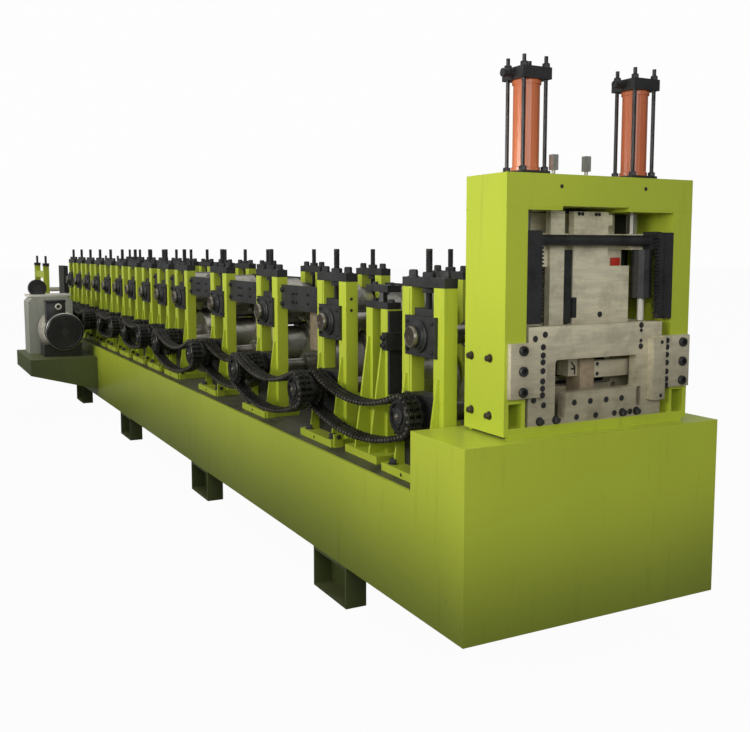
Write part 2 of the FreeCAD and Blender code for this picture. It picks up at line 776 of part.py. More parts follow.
def shaft_ends():
    """Bearing cover and shaft end on the near side of each upper shaft."""
    body = station_body("shaft_ends")
    face = STAND_REACH + s.post_depth / 2 + s.block_plate_thickness
    sketch = sketch_on(body, "XZ_Plane", face)
    outline(sketch, round_corners(0, s.upper_axis, s.cover_radius, ROLL_SIDES))
    cover = pad(body, sketch, s.cover_thickness)
    sketch = sketch_on(body, "XZ_Plane", face + s.cover_thickness)
    outline(sketch, round_corners(0, s.upper_axis, s.shaft_radius, SHAFT_SIDES))
    stub = pad(body, sketch, s.shaft_end_length)
    repeat(body, [cover, stub], [along_stations(body)])


# Chain drive: each chain runs in the inner or the outer lane, in turn, from one stand to the next


def wheel_corners(along=0):
    """The toothed outline of a sprocket on a lower shaft."""
    teeth = int(s.sprocket_teeth.value)
    corners = []
    for index in range(teeth * 2):
        radius = s.sprocket_tip_radius if index % 2 else s.sprocket_root_radius
        angle = math.tau * index / (teeth * 2)
        corners.append((along + radius * math.cos(angle), s.lower_axis + radius * math.sin(angle)))
    return corners


def sprockets():
    """Wheels with hubs on the lower shafts: one lane wide at the exit, both lanes wide on all the others."""
    lane = LINE_MIDDLE - NEAR - s.lane_place
    body = station_body("sprockets")
    sketch = sketch_on(body, "XZ_Plane", lane)
    outline(sketch, wheel_corners())
    wheel = pad(body, sketch, s.lane_width, reverse=True)
    sketch = sketch_on(body, "XZ_Plane", lane - s.lane_width)
    outline(sketch, round_corners(0, s.lower_axis, s.hub_radius, SHAFT_SIDES))
    hub_length = lane - s.lane_width - (STAND_REACH + s.post_depth / 2 + s.block_plate_thickness)
    hub = pad(body, sketch, hub_length, reverse=True)
    repeat(body, [wheel, hub], [along_stations(body)])
    sketch = sketch_on(body, "XZ_Plane", lane + s.lane_gap + s.lane_width)
    outline(sketch, wheel_corners(-s.wide_pitch))
    wheel = pad(body, sketch, s.lane_gap + s.lane_width, reverse=True)
    repeat(body, [wheel], [along_stations(body, 1)])


def arc_points(middle, radius, start, stop, steps):
    """Points on an arc, from a start to a stop angle."""
    points = []
    for index in range(steps + 1):
        angle = start + (stop - start) * index / steps
        points.append((middle[0] + radius * math.cos(angle), middle[1] + radius * math.sin(angle)))
    return points


def chain_face(distance, upper_sag, lower_sag, inner, thickness, wrap_steps, strand_steps):
    """A slack chain round two sprockets as a closed band: two wraps and two sagging strands.

    Each strand is an arc that leaves both wraps without a corner: the upper one curves against the
    wraps, the lower one with them.
    """
    half = distance / 2
    low_of_upper = inner - upper_sag
    upper_radius = (half ** 2 + low_of_upper ** 2 - inner ** 2) / (2 * (inner - low_of_upper))
    low_of_lower = inner + lower_sag
    lower_radius = (half ** 2 + low_of_lower ** 2 - inner ** 2) / (2 * (low_of_lower - inner))
    upper_middle = (half, upper_radius + low_of_upper)
    lower_middle = (half, lower_radius - low_of_lower)
    upper_angle = math.atan2(upper_middle[1], upper_middle[0])
    lower_angle = math.atan2(-lower_middle[1], -lower_middle[0])
    wires = []
    for offset in (0, thickness):
        wrap = inner + offset
        upper = (upper_middle, upper_radius - offset, math.pi + upper_angle, math.tau - upper_angle)
        lower = (lower_middle, lower_radius + offset, -math.pi - lower_angle, lower_angle)
        points = arc_points((0, 0), wrap, math.tau + lower_angle, upper_angle, wrap_steps)
        points += arc_points(*upper, strand_steps)[1:-1]
        points += arc_points((distance, 0), wrap, math.pi - upper_angle, -math.pi - lower_angle, wrap_steps)
        points += arc_points(*lower, strand_steps)[1:-1]
        corners = [FreeCAD.Vector(x, 0, z) for x, z in points]
        wires.append(Part.makePolygon(corners + corners[:1]))
    return Part.Face(wires[1]).cut(Part.Face(wires[0]))


def chain_loop(start, stop, lane, width, wrap_steps, strand_steps):
    """A chain between two shafts, in a lane that starts a given way from the bed's near face."""
    distance = stop - start
    slack = (distance / s.wide_pitch.value) ** 2
    inner = s.sprocket_tip_radius.value + s.chain_gap.value
    sags = (s.upper_sag.value * slack, s.lower_sag.value * slack)
    band = chain_face(distance, *sags, inner, s.chain_thickness.value, wrap_steps, strand_steps)
    band.translate(FreeCAD.Vector(start, NEAR.value + lane, (BED_TOP + s.lower_axis).value))
    return band.extrude(FreeCAD.Vector(0, width, 0))


def chain_node(label, loops):
    """Chain loops as one sub-part."""
    chains = doc.addObject("Part::Feature", label)
    chains.Shape = Part.makeCompound(loops)
    chains.Placement = FreeCAD.Placement()
    node(label, chains)


LANE_PITCH = s.lane_width + s.lane_gap


def drive_chains():
    loops = []
    for index in range(STATIONS - 1):
        lane = s.lane_place.value - (index % 2) * LANE_PITCH.value
        steps = (5, 4) if index < WIDE_GAPS else (4, 2)
        places = (station_x(index + 1).value, station_x(index).value)
        loops.append(chain_loop(*places, lane, s.lane_width.value, *steps))
    chain_node("drive_chains", loops)


# Pieces between the stands at the exit end

def tie_plates():
    plates = []
    edge = s.window_width / 2 + s.post_width
    for axis in (s.near_axis, s.far_axis):
        for index in range(1, 1 + int(s.tie_count.value)):
            x = (station_x(index + 1) + edge, station_x(index) - edge)
            y = (NEAR + axis - s.tie_thickness / 2, NEAR + axis + s.tie_thickness / 2)
            level = BED_TOP + s.tie_level
            plates.append(box("tie", x, y, (level, level + s.tie_height)))
    group("tie_plates", plates)


def side_stands():
    """A welded stand for a side roll on each side of the line, between the first two roll stands."""
    middle = FIRST_X - s.wide_pitch / 2
    body = new_body("side_stands", middle, LINE_MIDDLE, BED_TOP)
    base_face = NEAR + s.side_base_near - LINE_MIDDLE
    post_face = NEAR + s.side_post_near - LINE_MIDDLE
    sketch = sketch_on(body, "XY_Plane")
    reach = s.side_base_length / 2
    rectangle(sketch, (-reach, reach), (base_face, base_face + s.side_base_width))
    base = pad(body, sketch, s.base_thickness)
    sketch = sketch_on(body, "XY_Plane", s.base_thickness)
    half = s.side_post_gap / 2
    wide = half + s.side_post_width
    for low, high in ((-wide, -half), (half, wide)):
        rectangle(sketch, (low, high), (post_face, post_face + s.side_post_depth))
    posts = pad(body, sketch, s.side_post_height)
    ribs = []
    foot = s.base_thickness
    for side in (-1, 1):
        sketch = sketch_on(body, "YZ_Plane", (half + s.side_post_width / 2) * side)
        outline(sketch, [
            (post_face, foot), (post_face, foot + s.side_rib_height),
            (post_face - s.rib_tip, foot + s.side_rib_height), (post_face - s.side_rib_reach, foot),
        ])
        ribs.append(pad(body, sketch, s.side_rib_thickness, middle=True))
    repeat(body, [base, posts, *ribs], [mirror(body, "XZ_Plane")])

    body = new_body("side_stand_plates", middle, LINE_MIDDLE, BED_TOP)
    level = s.base_thickness + s.side_post_height
    sketch = sketch_on(body, "XY_Plane", level)
    rectangle(sketch, (-wide, wide), (post_face, post_face + s.side_post_depth))
    low_plate = pad(body, sketch, s.side_plate_thickness)
    level += s.side_plate_thickness
    sketch = sketch_on(body, "XY_Plane", level)
    outline(sketch, round_corners(0, post_face + s.side_post_depth / 2, s.side_stud_radius, SHAFT_SIDES))
    stud = pad(body, sketch, s.side_stud_length)
    sketch = sketch_on(body, "XY_Plane", level + s.side_stud_length)
    rectangle(sketch, (-wide, wide), (post_face, post_face + s.side_post_depth))
    plate = pad(body, sketch, s.side_plate_thickness)
    repeat(body, [low_plate, stud, plate], [mirror(body, "XZ_Plane")])

    body = new_body("side_roll_holders", middle, LINE_MIDDLE, BED_TOP)
    inner = post_face + s.side_post_depth + s.fit_gap
    sketch = sketch_on(body, "XY_Plane", s.base_thickness + s.side_head_rise)
    rectangle(sketch, (-s.side_head_length / 2, s.side_head_length / 2), (inner, inner + s.side_head_depth))
    holder = pad(body, sketch, s.side_head_height)
    repeat(body, [holder], [mirror(body, "XZ_Plane")])

    body = new_body("side_rolls", middle, LINE_MIDDLE, BED_TOP)
    level = s.base_thickness + s.side_head_rise - s.fit_gap
    sketch = sketch_on(body, "XY_Plane", level)
    outline(sketch, round_corners(0, inner + s.side_head_depth / 2, s.side_roll_radius, ROLL_SIDES))
    roll = pad(body, sketch, s.side_roll_length, reverse=True)
    repeat(body, [roll], [mirror(body, "XZ_Plane")])


# Cutting press on the end block

PRESS_X = (EXIT - s.press_back, EXIT - s.press_front)
PRESS_NEAR = NEAR + s.press_near
PRESS_FAR = PRESS_NEAR + s.press_width
COLUMN_NEAR = s.press_near + s.press_column
COLUMN_FAR = s.press_near + s.press_width - s.press_column
PRESS_MIDDLE = s.press_near + s.press_width / 2
DIE_NEAR = COLUMN_NEAR + s.die_near_gap
DIE_FAR = COLUMN_FAR - s.die_far_gap
WINDOW_FAR = DIE_FAR - s.die_window_far_inset
PUNCH = COLUMN_FAR - s.punch_gap
CYLINDERS = (s.press_near + s.cylinder_inset, s.press_near + s.press_width - s.cylinder_far_inset)
SHIM_TOP = BED_UNDER + s.block_height + s.press_shim
BASE_TOP = SHIM_TOP + s.press_base
COLUMN_TOP = BASE_TOP + s.press_column_height
BEAM_TOP = COLUMN_TOP + s.press_beam_height


def across(near, width):
    """A span of Y values, from the bed's near face."""
    return (NEAR + near, NEAR + near + width)


def above_base(rise, height):
    """A span of Z values, from the press base plate's top."""
    return (BASE_TOP + rise, BASE_TOP + rise + height)


def back_from(setback, depth):
    """A span of X values, from the exit face."""
    return (EXIT - setback - depth, EXIT - setback)


def press_frame():
    body = new_body("press_base", PRESS_X[0], PRESS_NEAR, SHIM_TOP - s.press_shim)
    sketch = sketch_on(body, "YZ_Plane")
    low = s.press_shim_inset
    high = s.press_width - s.press_shim_inset
    outline(sketch, [
        (low, 0), (high, 0), (high, s.press_shim), (s.press_width, s.press_shim),
        (s.press_width, s.press_shim + s.press_base), (0, s.press_shim + s.press_base),
        (0, s.press_shim), (low, s.press_shim),
    ])
    pad(body, sketch, s.press_back - s.press_front)

    columns = []
    for low, pocket_low in (
        (PRESS_NEAR, PRESS_NEAR + s.pocket_near),
        (PRESS_FAR - s.press_column, PRESS_FAR - s.pocket_near - s.pocket_width),
    ):
        column = box("column", PRESS_X, (low, low + s.press_column), (BASE_TOP, COLUMN_TOP))
        hollow = box(
            "column_pocket",
            (PRESS_X[1] - s.pocket_depth, PRESS_X[1]),
            (pocket_low, pocket_low + s.pocket_width),
            above_base(s.fit_gap, s.pocket_height),
        )
        columns.append(cut("pocketed_column", column, hollow))
    group("press_columns", columns)

    body = new_body("press_beam", PRESS_X[0], NEAR, COLUMN_TOP)
    sketch = sketch_on(body, "YZ_Plane")
    near = s.press_near
    far = s.press_near + s.press_width
    notch = s.press_notch_depth
    notch_near = PRESS_MIDDLE - s.press_notch_offset
    notch_far = notch_near + s.press_notch_width
    outline(sketch, [
        (near, 0), (notch_near, 0), (notch_near, notch), (notch_far, notch), (notch_far, 0),
        (far, 0), (far, s.press_beam_height), (near, s.press_beam_height),
    ])
    pad(body, sketch, s.press_back - s.press_front)


# Tooling between the press columns


def die_plate(label, setback):
    """A die plate with the profile's window, its leg for the strip's edge, and a slot."""
    body = new_body(label, EXIT - setback - s.die_thickness, NEAR, BASE_TOP)
    sketch = sketch_on(body, "YZ_Plane")
    rectangle(sketch, (DIE_NEAR, DIE_FAR), (0, s.die_height))
    leg_far = s.die_leg_near + s.die_leg_width
    sill = s.die_window_rise
    window = [
        (s.die_leg_near, s.die_leg_rise), (leg_far, s.die_leg_rise), (leg_far, sill), (WINDOW_FAR, sill),
        (WINDOW_FAR, sill + s.die_window_height), (s.die_leg_near, sill + s.die_window_height),
    ]
    outline(sketch, rounded_corners(window, s.die_corner))
    low = DIE_FAR - s.die_slot_inset - s.die_slot_width / 2
    high = low + s.die_slot_width
    slot_top = s.die_slot_rise + s.die_slot_height
    slot = [(low, s.die_slot_rise), (high, s.die_slot_rise), (high, slot_top), (low, slot_top)]
    outline(sketch, rounded_corners(slot, s.die_slot_width / 2 - s.fit_gap))
    pad(body, sketch, s.die_thickness)


DIE_FRONT = s.press_front + s.fit_gap
DIE_BACK = DIE_FRONT + s.die_thickness + s.die_spacing


def press_tooling():
    die_plate("front_die_plate", DIE_FRONT)
    die_plate("rear_die_plate", DIE_BACK)

    insert = box(
        "insert",
        (EXIT - DIE_BACK + s.fit_gap, EXIT - s.insert_setback),
        across(s.insert_near, s.insert_width),
        above_base(s.insert_rise, s.insert_height),
    )
    bar_start = s.insert_near + s.insert_width + s.fit_gap
    bar = box(
        "bar",
        back_from(s.insert_setback, s.die_bar_thickness),
        across(bar_start, WINDOW_FAR - s.die_bar_gap - bar_start),
        above_base(s.die_bar_rise, s.die_bar_height),
    )
    group("die_inserts", [insert, bar])

    front = (EXIT - s.press_front, EXIT - s.press_front + s.gib_thickness)
    far_low = s.press_near + s.press_width - s.gib_inset - s.gib_far_width
    near_low = s.press_near + s.gib_inset
    gibs = [
        box("gib", front, across(near_low, s.gib_width), above_base(s.gib_rise, s.gib_height)),
        box("gib", front, across(far_low, s.gib_far_width), above_base(s.gib_far_rise, s.gib_far_height)),
        box(
            "spacer",
            (EXIT - s.press_front, EXIT - s.press_front + s.spacer_thickness),
            across(far_low - s.spacer_gap - s.spacer_width, s.spacer_width),
            above_base(s.spacer_rise, s.spacer_height),
        ),
    ]
    group("gib_brackets", gibs)


CROSSHEAD_FACE = s.ram_setback + s.ram_thickness + s.fit_gap


def press_ram():
    """Ram plates on the front of a crosshead, which hangs on the two piston rods."""
    x = back_from(s.ram_setback, s.ram_thickness)
    plate_near = PRESS_MIDDLE - s.ram_plate_offset
    low_near = plate_near + s.ram_plate_width + s.fit_gap
    low_width = PUNCH - s.punch_radius - s.ram_low_gap - low_near
    high = above_base(s.ram_rise, s.ram_height)
    plates = [
        box("ram_bar", x, across(PRESS_MIDDLE - s.ram_bar_offset, s.ram_bar_width), high),
        box("ram_plate", x, across(plate_near, s.ram_plate_width), high),
        box("ram_low_plate", x, across(low_near, low_width), above_base(s.ram_rise, s.ram_low_height)),
    ]
    group("ram_plates", plates)
    back_near = COLUMN_NEAR + s.fit_gap
    back = box(
        "back",
        back_from(s.back_plate_setback, s.back_plate_thickness),
        across(back_near, COLUMN_FAR - s.back_plate_far_gap - back_near),
        above_base(s.back_plate_rise, s.back_plate_height),
    )
    node("ram_back_plate", back)

    back = CROSSHEAD_FACE + s.crosshead_depth / 2
    near = COLUMN_NEAR + s.crosshead_near_gap
    body = new_body("ram_crosshead", EXIT - back, NEAR + near, BASE_TOP + s.crosshead_rise)
    sketch = sketch_on(body, "XY_Plane")
    face = s.crosshead_depth / 2
    end = s.crosshead_end
    width = COLUMN_FAR - s.crosshead_far_gap - near
    outline(sketch, [
        (0, 0), (s.crosshead_depth, 0), (s.crosshead_depth, end), (face, end),
        (face, width - end), (s.crosshead_depth, width - end), (s.crosshead_depth, width), (0, width),
    ])
    pad(body, sketch, s.crosshead_height)

    rods = []
    level = BASE_TOP + s.crosshead_rise + s.crosshead_height
    for near in CYLINDERS:
        x = EXIT - s.cylinder_setback
        rods.append(rod("piston", x, NEAR + near, level, s.piston_radius, COLUMN_TOP - level))
    group("piston_rods", rods)


def press_racks():
    """A toothed rack on the far column, its plain guide on the near one, and the shaft that links them."""
    inner_far = s.press_near + s.press_width - s.press_column - s.fit_gap
    inner_near = s.press_near + s.press_column + s.fit_gap
    front = s.press_front + s.fit_gap
    body = new_body("racks", EXIT - front - s.rack_thickness, NEAR, BASE_TOP + s.rack_rise)
    sketch = sketch_on(body, "YZ_Plane")
    rectangle(sketch, (inner_near, inner_near + s.rack_width), (0, s.rack_height))
    root = inner_far - s.rack_width
    count = int(s.rack_teeth.value)
    step = s.rack_height / count
    corners = [(inner_far, 0), (inner_far, s.rack_height), (root, s.rack_height)]
    for index in reversed(range(count)):
        low = step * index
        tip = root - s.rack_tooth
        corners += [
            (root, low + s.rack_crest + s.rack_flank * 2), (tip, low + s.rack_crest + s.rack_flank),
            (tip, low + s.rack_flank), (root, low),
        ]
    outline(sketch, corners)
    pad(body, sketch, s.rack_thickness)

    level = BASE_TOP + s.link_shaft_rise
    x = EXIT - s.link_shaft_setback
    near = COLUMN_NEAR + s.link_shaft_near_gap
    far = COLUMN_FAR - s.link_shaft_far_gap
    shaft = rod("link", x, NEAR + near, level, s.link_shaft_radius, far - near, ALONG_Y)
    node("linking_shaft", shaft)
    back = back_from(front + s.rack_thickness + s.fit_gap, s.link_block_depth)
    height = above_base(s.link_shaft_rise - s.link_block_height / 2, s.link_block_height)
    blocks = []
    for start in (near - s.link_block_width, far):
        blocks.append(box("link_block", back, across(start, s.link_block_width), height))
    group("linking_shaft_blocks", blocks)

    punch_top = BASE_TOP + s.link_shaft_rise - s.link_block_height / 2 - s.fit_gap
    punch_low = punch_top - s.punch_length
    place_x = EXIT - s.punch_setback
    place_y = NEAR + PUNCH
    die_top = BASE_TOP + s.die_height + s.fit_gap
    group("punch_cylinder", [
        rod("punch", place_x, place_y, punch_low, s.punch_radius, s.punch_length),
        rod("punch_rod", place_x, place_y, die_top, s.punch_rod_radius, punch_low - die_top),
    ])

    switches = []
    x = EXIT - s.switch_setback
    half = s.switch_size / 2
    low = BEAM_TOP + s.switch_stub
    height = (low, low + s.switch_height)
    for index in range(2):
        y = NEAR + s.switch_near + s.switch_pitch * index
        switches.append(rod("switch_stub", x, y, BEAM_TOP, s.switch_stub_radius, s.switch_stub))
        switches.append(box("switch", (x - half, x + half), (y - half, y + half), height))
    group("limit_switches", switches)


def press_cylinders():
    x = EXIT - s.cylinder_setback
    half = s.cylinder_flange / 2
    foot_top = BEAM_TOP + s.cylinder_foot
    tube_top = foot_top + s.cylinder_length
    flanges = []
    tubes = []
    for near in CYLINDERS:
        y = NEAR + near
        span_x = (x - half, x + half)
        span_y = (y - half, y + half)
        flanges.append(box("foot", span_x, span_y, (BEAM_TOP, foot_top)))
        flanges.append(box("head", span_x, span_y, (tube_top, tube_top + s.cylinder_head)))
        tubes.append(rod("tube", x, y, foot_top, s.cylinder_radius, s.cylinder_length, None, ROUND_SIDES))
    group("cylinder_flanges", flanges)
    group("cylinder_tubes", tubes)

    spread = (CYLINDERS[1] - CYLINDERS[0]) / 2
    body = new_body("cylinder_tie_rods", x, NEAR + CYLINDERS[0] + spread, foot_top)
    corner = half - s.tie_rod_inset
    for level, length in ((0, s.cylinder_length), (s.cylinder_length + s.cylinder_head, s.tie_rod_rise)):
        sketch = sketch_on(body, "XY_Plane", level)
        for side in (-1, 1):
            outline(sketch, round_corners(corner, spread + corner * side, s.tie_rod_radius, SHAFT_SIDES))
        bars = pad(body, sketch, length)
        repeat(body, [bars], [mirror(body, "YZ_Plane"), mirror(body, "XZ_Plane")])


# Motor and reducer on their bracket

PLATFORM_TOP = BED_TOP - s.platform_drop
MOTOR_FRONT = DRIVEN_X + s.motor_lead
MOTOR_START = MOTOR_FRONT - s.fan_length - s.motor_length
MOTOR_Y = NEAR - s.motor_out
MOTOR_Z = PLATFORM_TOP + s.motor_rise
REDUCER_STOP = MOTOR_START - s.reducer_gap
REDUCER_FACE = NEAR - s.reducer_out + s.reducer_width


def motor():
    def barrel(name, start, radius, length):
        return rod(name, start, MOTOR_Y, MOTOR_Z, radius, length, ALONG_X, ROUND_SIDES)

    node("motor_body", barrel("body", MOTOR_START, s.motor_radius, s.motor_length))
    fan_start = MOTOR_START + s.motor_length
    node("motor_fan_cover", barrel("fan", fan_start, s.fan_radius, s.fan_length))

    room = barrel("foot_room", MOTOR_START, s.motor_radius + s.fit_gap, s.motor_length)
    middle = MOTOR_START + s.motor_length / 2
    half = s.motor_foot_width / 2
    foot = box(
        "foot",
        (middle - s.motor_foot_length / 2, middle + s.motor_foot_length / 2),
        (MOTOR_Y - half, MOTOR_Y + half),
        (PLATFORM_TOP, PLATFORM_TOP + s.motor_foot_height),
    )
    node("motor_foot", cut("motor_foot", foot, room))

    low = MOTOR_Y - s.terminal_out
    terminal = box(
        "terminal",
        (fan_start - s.terminal_length, fan_start),
        (low, low + s.terminal_width),
        (MOTOR_Z + s.terminal_low, MOTOR_Z + s.terminal_top),
    )
    terminal_room = barrel("terminal_room", MOTOR_START, s.motor_radius + s.fit_gap, s.motor_length)
    seated = cut("terminal_seat", terminal, terminal_room)
    gland_y = low + s.gland_place
    gland_z = MOTOR_Z + s.terminal_top - s.gland_radius * 2
    gland = rod("gland", fan_start, gland_y, gland_z, s.gland_radius, s.gland_length, ALONG_X)
    group("motor_terminal_box", [seated, gland])

    coupling = rod("coupling", REDUCER_STOP, MOTOR_Y, MOTOR_Z, s.coupling_radius, s.reducer_gap, ALONG_X)
    node("motor_coupling", coupling)


def reducer():
    body = new_body("reducer", REDUCER_STOP - s.reducer_length, NEAR - s.reducer_out, PLATFORM_TOP)
    sketch = sketch_on(body, "YZ_Plane")
    bevel = s.reducer_chamfer
    outline(sketch, [
        (0, 0), (s.reducer_width, 0), (s.reducer_width, s.reducer_height - bevel),
        (s.reducer_width - bevel, s.reducer_height), (bevel, s.reducer_height), (0, s.reducer_height - bevel),
    ])
    pad(body, sketch, s.reducer_length)
    y = NEAR - s.reducer_out + s.reducer_width / 4
    top = PLATFORM_TOP + s.reducer_height + s.filler_radius
    start = REDUCER_STOP - s.reducer_length / 2
    saddle_half = s.filler_radius / 2
    saddle = box(
        "saddle", (start, start + s.filler_length), (y - saddle_half, y + saddle_half),
        (PLATFORM_TOP + s.reducer_height, top),
    )
    case = rod("case", start, y, top, s.filler_radius, s.filler_length, ALONG_X, ROUND_SIDES)
    joined = doc.addObject("Part::MultiFuse", "cap_case")
    joined.Shapes = [saddle, case]
    node("reducer_cap", joined)


def motor_chain():
    """The wheel on the reducer, the wheel that it drives, and the chain round both."""
    lane = s.lane_place - LANE_PITCH - s.motor_lane_gap - s.motor_lane_width
    drive = DRIVEN_X - s.motor_chain_span
    body = new_body("motor_sprockets", DRIVEN_X, NEAR, BED_TOP)
    for along, hub_start, hub_stop in (
        (0, lane + s.motor_lane_width, s.lane_place - LANE_PITCH),
        (drive - DRIVEN_X, REDUCER_FACE - NEAR, lane),
    ):
        sketch = sketch_on(body, "XZ_Plane", -lane)
        outline(sketch, wheel_corners(along))
        pad(body, sketch, s.motor_lane_width, reverse=True)
        sketch = sketch_on(body, "XZ_Plane", -hub_start)
        outline(sketch, round_corners(along, s.lower_axis, s.hub_radius, SHAFT_SIDES))
        pad(body, sketch, hub_stop - hub_start, reverse=True)
    loop = chain_loop(drive.value, DRIVEN_X.value, lane.value, s.motor_lane_width.value, 6, 5)
    chain_node("motor_chain", [loop])


# Entry end: a leveller, then posts with screws that carry a guide table

LEVELLER_STOP = station_x(STATIONS - 1) - s.base_length / 2 - s.leveller_gap
LEVELLER_START = LEVELLER_STOP - s.leveller_length


def entry_section():
    posts = []
    caps = []
    screws = []
    rails = []
    half = s.entry_post / 2
    top = BED_TOP + s.entry_post_height
    cap_top = top + s.entry_cap_thickness
    places = (LEVELLER_START - s.entry_gap - half, BED_START + s.entry_margin + half)
    mirror_y = NEAR + s.near_axis + s.far_axis - s.entry_near
    for y in (NEAR + s.entry_near, mirror_y):
        span_y = (y - half, y + half)
        for x in places:
            posts.append(box("entry_post", (x - half, x + half), span_y, (BED_TOP, top)))
            caps.append(box("entry_cap", (x - s.entry_cap / 2, x + s.entry_cap / 2), span_y, (top, cap_top)))
        rail_z = (BED_TOP + s.entry_rail_rise, BED_TOP + s.entry_rail_rise + s.entry_rail_height)
        rails.append(box("entry_rail", (places[1] + half, places[0] - half), span_y, rail_z))
    group("entry_posts", posts)
    group("entry_caps", caps)
    group("entry_rails", rails)

    body = new_body("entry_screws", (places[0] + places[1]) / 2, LINE_MIDDLE, cap_top)
    sketch = sketch_on(body, "XY_Plane")
    screw_y = NEAR + s.entry_near - LINE_MIDDLE
    outline(sketch, round_corners((places[0] - places[1]) / 2, screw_y, s.screw_diameter / 2, SHAFT_SIDES))
    screw = pad(body, sketch, s.entry_screw_rise)
    repeat(body, [screw], [mirror(body, "YZ_Plane"), mirror(body, "XZ_Plane")])

    inner = (NEAR + s.entry_near + half + s.fit_gap, mirror_y - half - s.fit_gap)
    table_top = BED_TOP + s.table_rise + s.table_thickness
    table = box("table", (places[1] - half, places[0] + half), inner, (BED_TOP + s.table_rise, table_top))
    node("entry_table", table)
    body = new_body("entry_guide_rollers", (places[0] + places[1]) / 2, LINE_MIDDLE, table_top)
    sketch = sketch_on(body, "XY_Plane")
    outline(sketch, round_corners(s.guide_pitch / 2, s.guide_spread / 2, s.guide_radius, ROLL_SIDES))
    roller = pad(body, sketch, s.guide_height)
    repeat(body, [roller], [mirror(body, "YZ_Plane"), mirror(body, "XZ_Plane")])

    near = NEAR + s.leveller_near
    far = NEAR + s.near_axis + s.far_axis - s.leveller_near
    plates = []
    for low in (near, far - s.leveller_thickness):
        plates.append(box(
            "leveller_plate", (LEVELLER_START, LEVELLER_STOP), (low, low + s.leveller_thickness),
            (BED_TOP, BED_TOP + s.leveller_height),
        ))
    group("leveller_plates", plates)
    body = new_body("leveller_rolls", (LEVELLER_START + LEVELLER_STOP) / 2, LINE_MIDDLE, table_top)
    sketch = sketch_on(body, "XZ_Plane")
    count = int(s.leveller_rolls.value)
    for index in range(count):
        along = s.leveller_roll_pitch * (index - (count - 1) / 2)
        outline(sketch, round_corners(along, -s.leveller_roll_radius, s.leveller_roll_radius, ROLL_SIDES))
        if index:
            between = along - s.leveller_roll_pitch / 2
            rise = s.leveller_roll_radius + s.strip_gap
            outline(sketch, round_corners(between, rise, s.leveller_roll_radius, ROLL_SIDES))
    reach = far - near - s.leveller_thickness * 2 - s.fit_gap * 2
    pad(body, sketch, reach, middle=True)


bed_channels()
bed_plates()
bed_feet()
end_block()
motor_platform()
stand_frames()
bearing_blocks()
roll_shafts()
shaft_ends()
sprockets()
drive_chains()
tie_plates()
side_stands()
press_frame()
press_tooling()
press_ram()
press_racks()
press_cylinders()
motor()
reducer()
motor_chain()
entry_section()

# Finish: every object is checked before anything is written

doc.recompute()
for item in doc.Objects:
    if "Invalid" in item.State or "Error" in item.State:
        raise RuntimeError(f"{item.Name} failed: {item.State}")
for item in NODES:
    if item.Shape.isNull() or not item.Shape.isValid():
        raise RuntimeError(f"{item.Label} has no valid shape")

os.makedirs("parts", exist_ok=True)
for item in NODES:
    item.Shape.exportStep(f"parts/{item.Label}.step")
    print(f"{item.Label}: {len(item.Shape.Solids)} solids, {item.Shape.Volume / 1e9:.4f} m3")
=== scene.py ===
# %% [markdown]
# # Roll forming machine
# The looks of a fourteen-stand roll forming machine for steel profiles. The CAD frame gives every main
# piece in its place. The cells below paint those pieces, and put finer ones where the frame only has
# plain outlines: roller chains, sprockets, rolls, screws, bearing covers and the motor.

import json
import math

import bmesh
import bpy
from mathutils import Matrix, Vector


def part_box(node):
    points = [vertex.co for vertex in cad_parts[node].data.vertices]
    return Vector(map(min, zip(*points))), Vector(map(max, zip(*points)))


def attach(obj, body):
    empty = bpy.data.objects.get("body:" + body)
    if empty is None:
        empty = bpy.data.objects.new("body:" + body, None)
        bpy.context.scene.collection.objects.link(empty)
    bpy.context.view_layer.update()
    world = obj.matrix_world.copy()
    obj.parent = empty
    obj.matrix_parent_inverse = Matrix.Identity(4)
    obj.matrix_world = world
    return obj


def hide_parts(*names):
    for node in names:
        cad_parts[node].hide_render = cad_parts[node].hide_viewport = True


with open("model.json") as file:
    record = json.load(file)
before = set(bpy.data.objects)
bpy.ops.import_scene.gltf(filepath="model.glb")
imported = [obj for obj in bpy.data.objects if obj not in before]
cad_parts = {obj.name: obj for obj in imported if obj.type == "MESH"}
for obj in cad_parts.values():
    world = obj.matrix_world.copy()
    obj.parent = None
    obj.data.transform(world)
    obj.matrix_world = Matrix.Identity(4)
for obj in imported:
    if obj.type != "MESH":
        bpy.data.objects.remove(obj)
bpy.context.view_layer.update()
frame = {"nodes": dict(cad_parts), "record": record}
print("nodes:", len(frame["nodes"]))

# %% [markdown]
# ## Bed coordinates
# Every length below is in metres from one corner of the bed: X from the exit face, negative towards the
# entry end, Y from the face on the chain side, and Z from the bed's underside. The camera was fitted in
# these coordinates, so a length read off the photo is used as it is.

# %% Places that many pieces share
block_low, block_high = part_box("end_block")
ORIGIN = Vector((block_high[0], block_low[1], block_low[2]))
BED_TOP = 0.427
BASE_TOP = BED_TOP + 0.030
CAP_TOP = 1.152
UPPER_AXIS = BED_TOP + 0.515
LOWER_AXIS = BED_TOP + 0.231
NEAR_AXIS = 0.167
FAR_AXIS = 0.745
STANDS = 14
FIRST_STATION = -0.496
WIDE_PITCH = 0.773
DENSE_PITCH = 0.452
WIDE_GAPS = 4
STATIONS = [
    FIRST_STATION - WIDE_PITCH * min(index, WIDE_GAPS) - DENSE_PITCH * max(index - WIDE_GAPS, 0)
    for index in range(STANDS)
]
AXES = ((NEAR_AXIS, -1), (FAR_AXIS, 1))
print("stands from", STATIONS[0], "to", round(STATIONS[-1], 3))

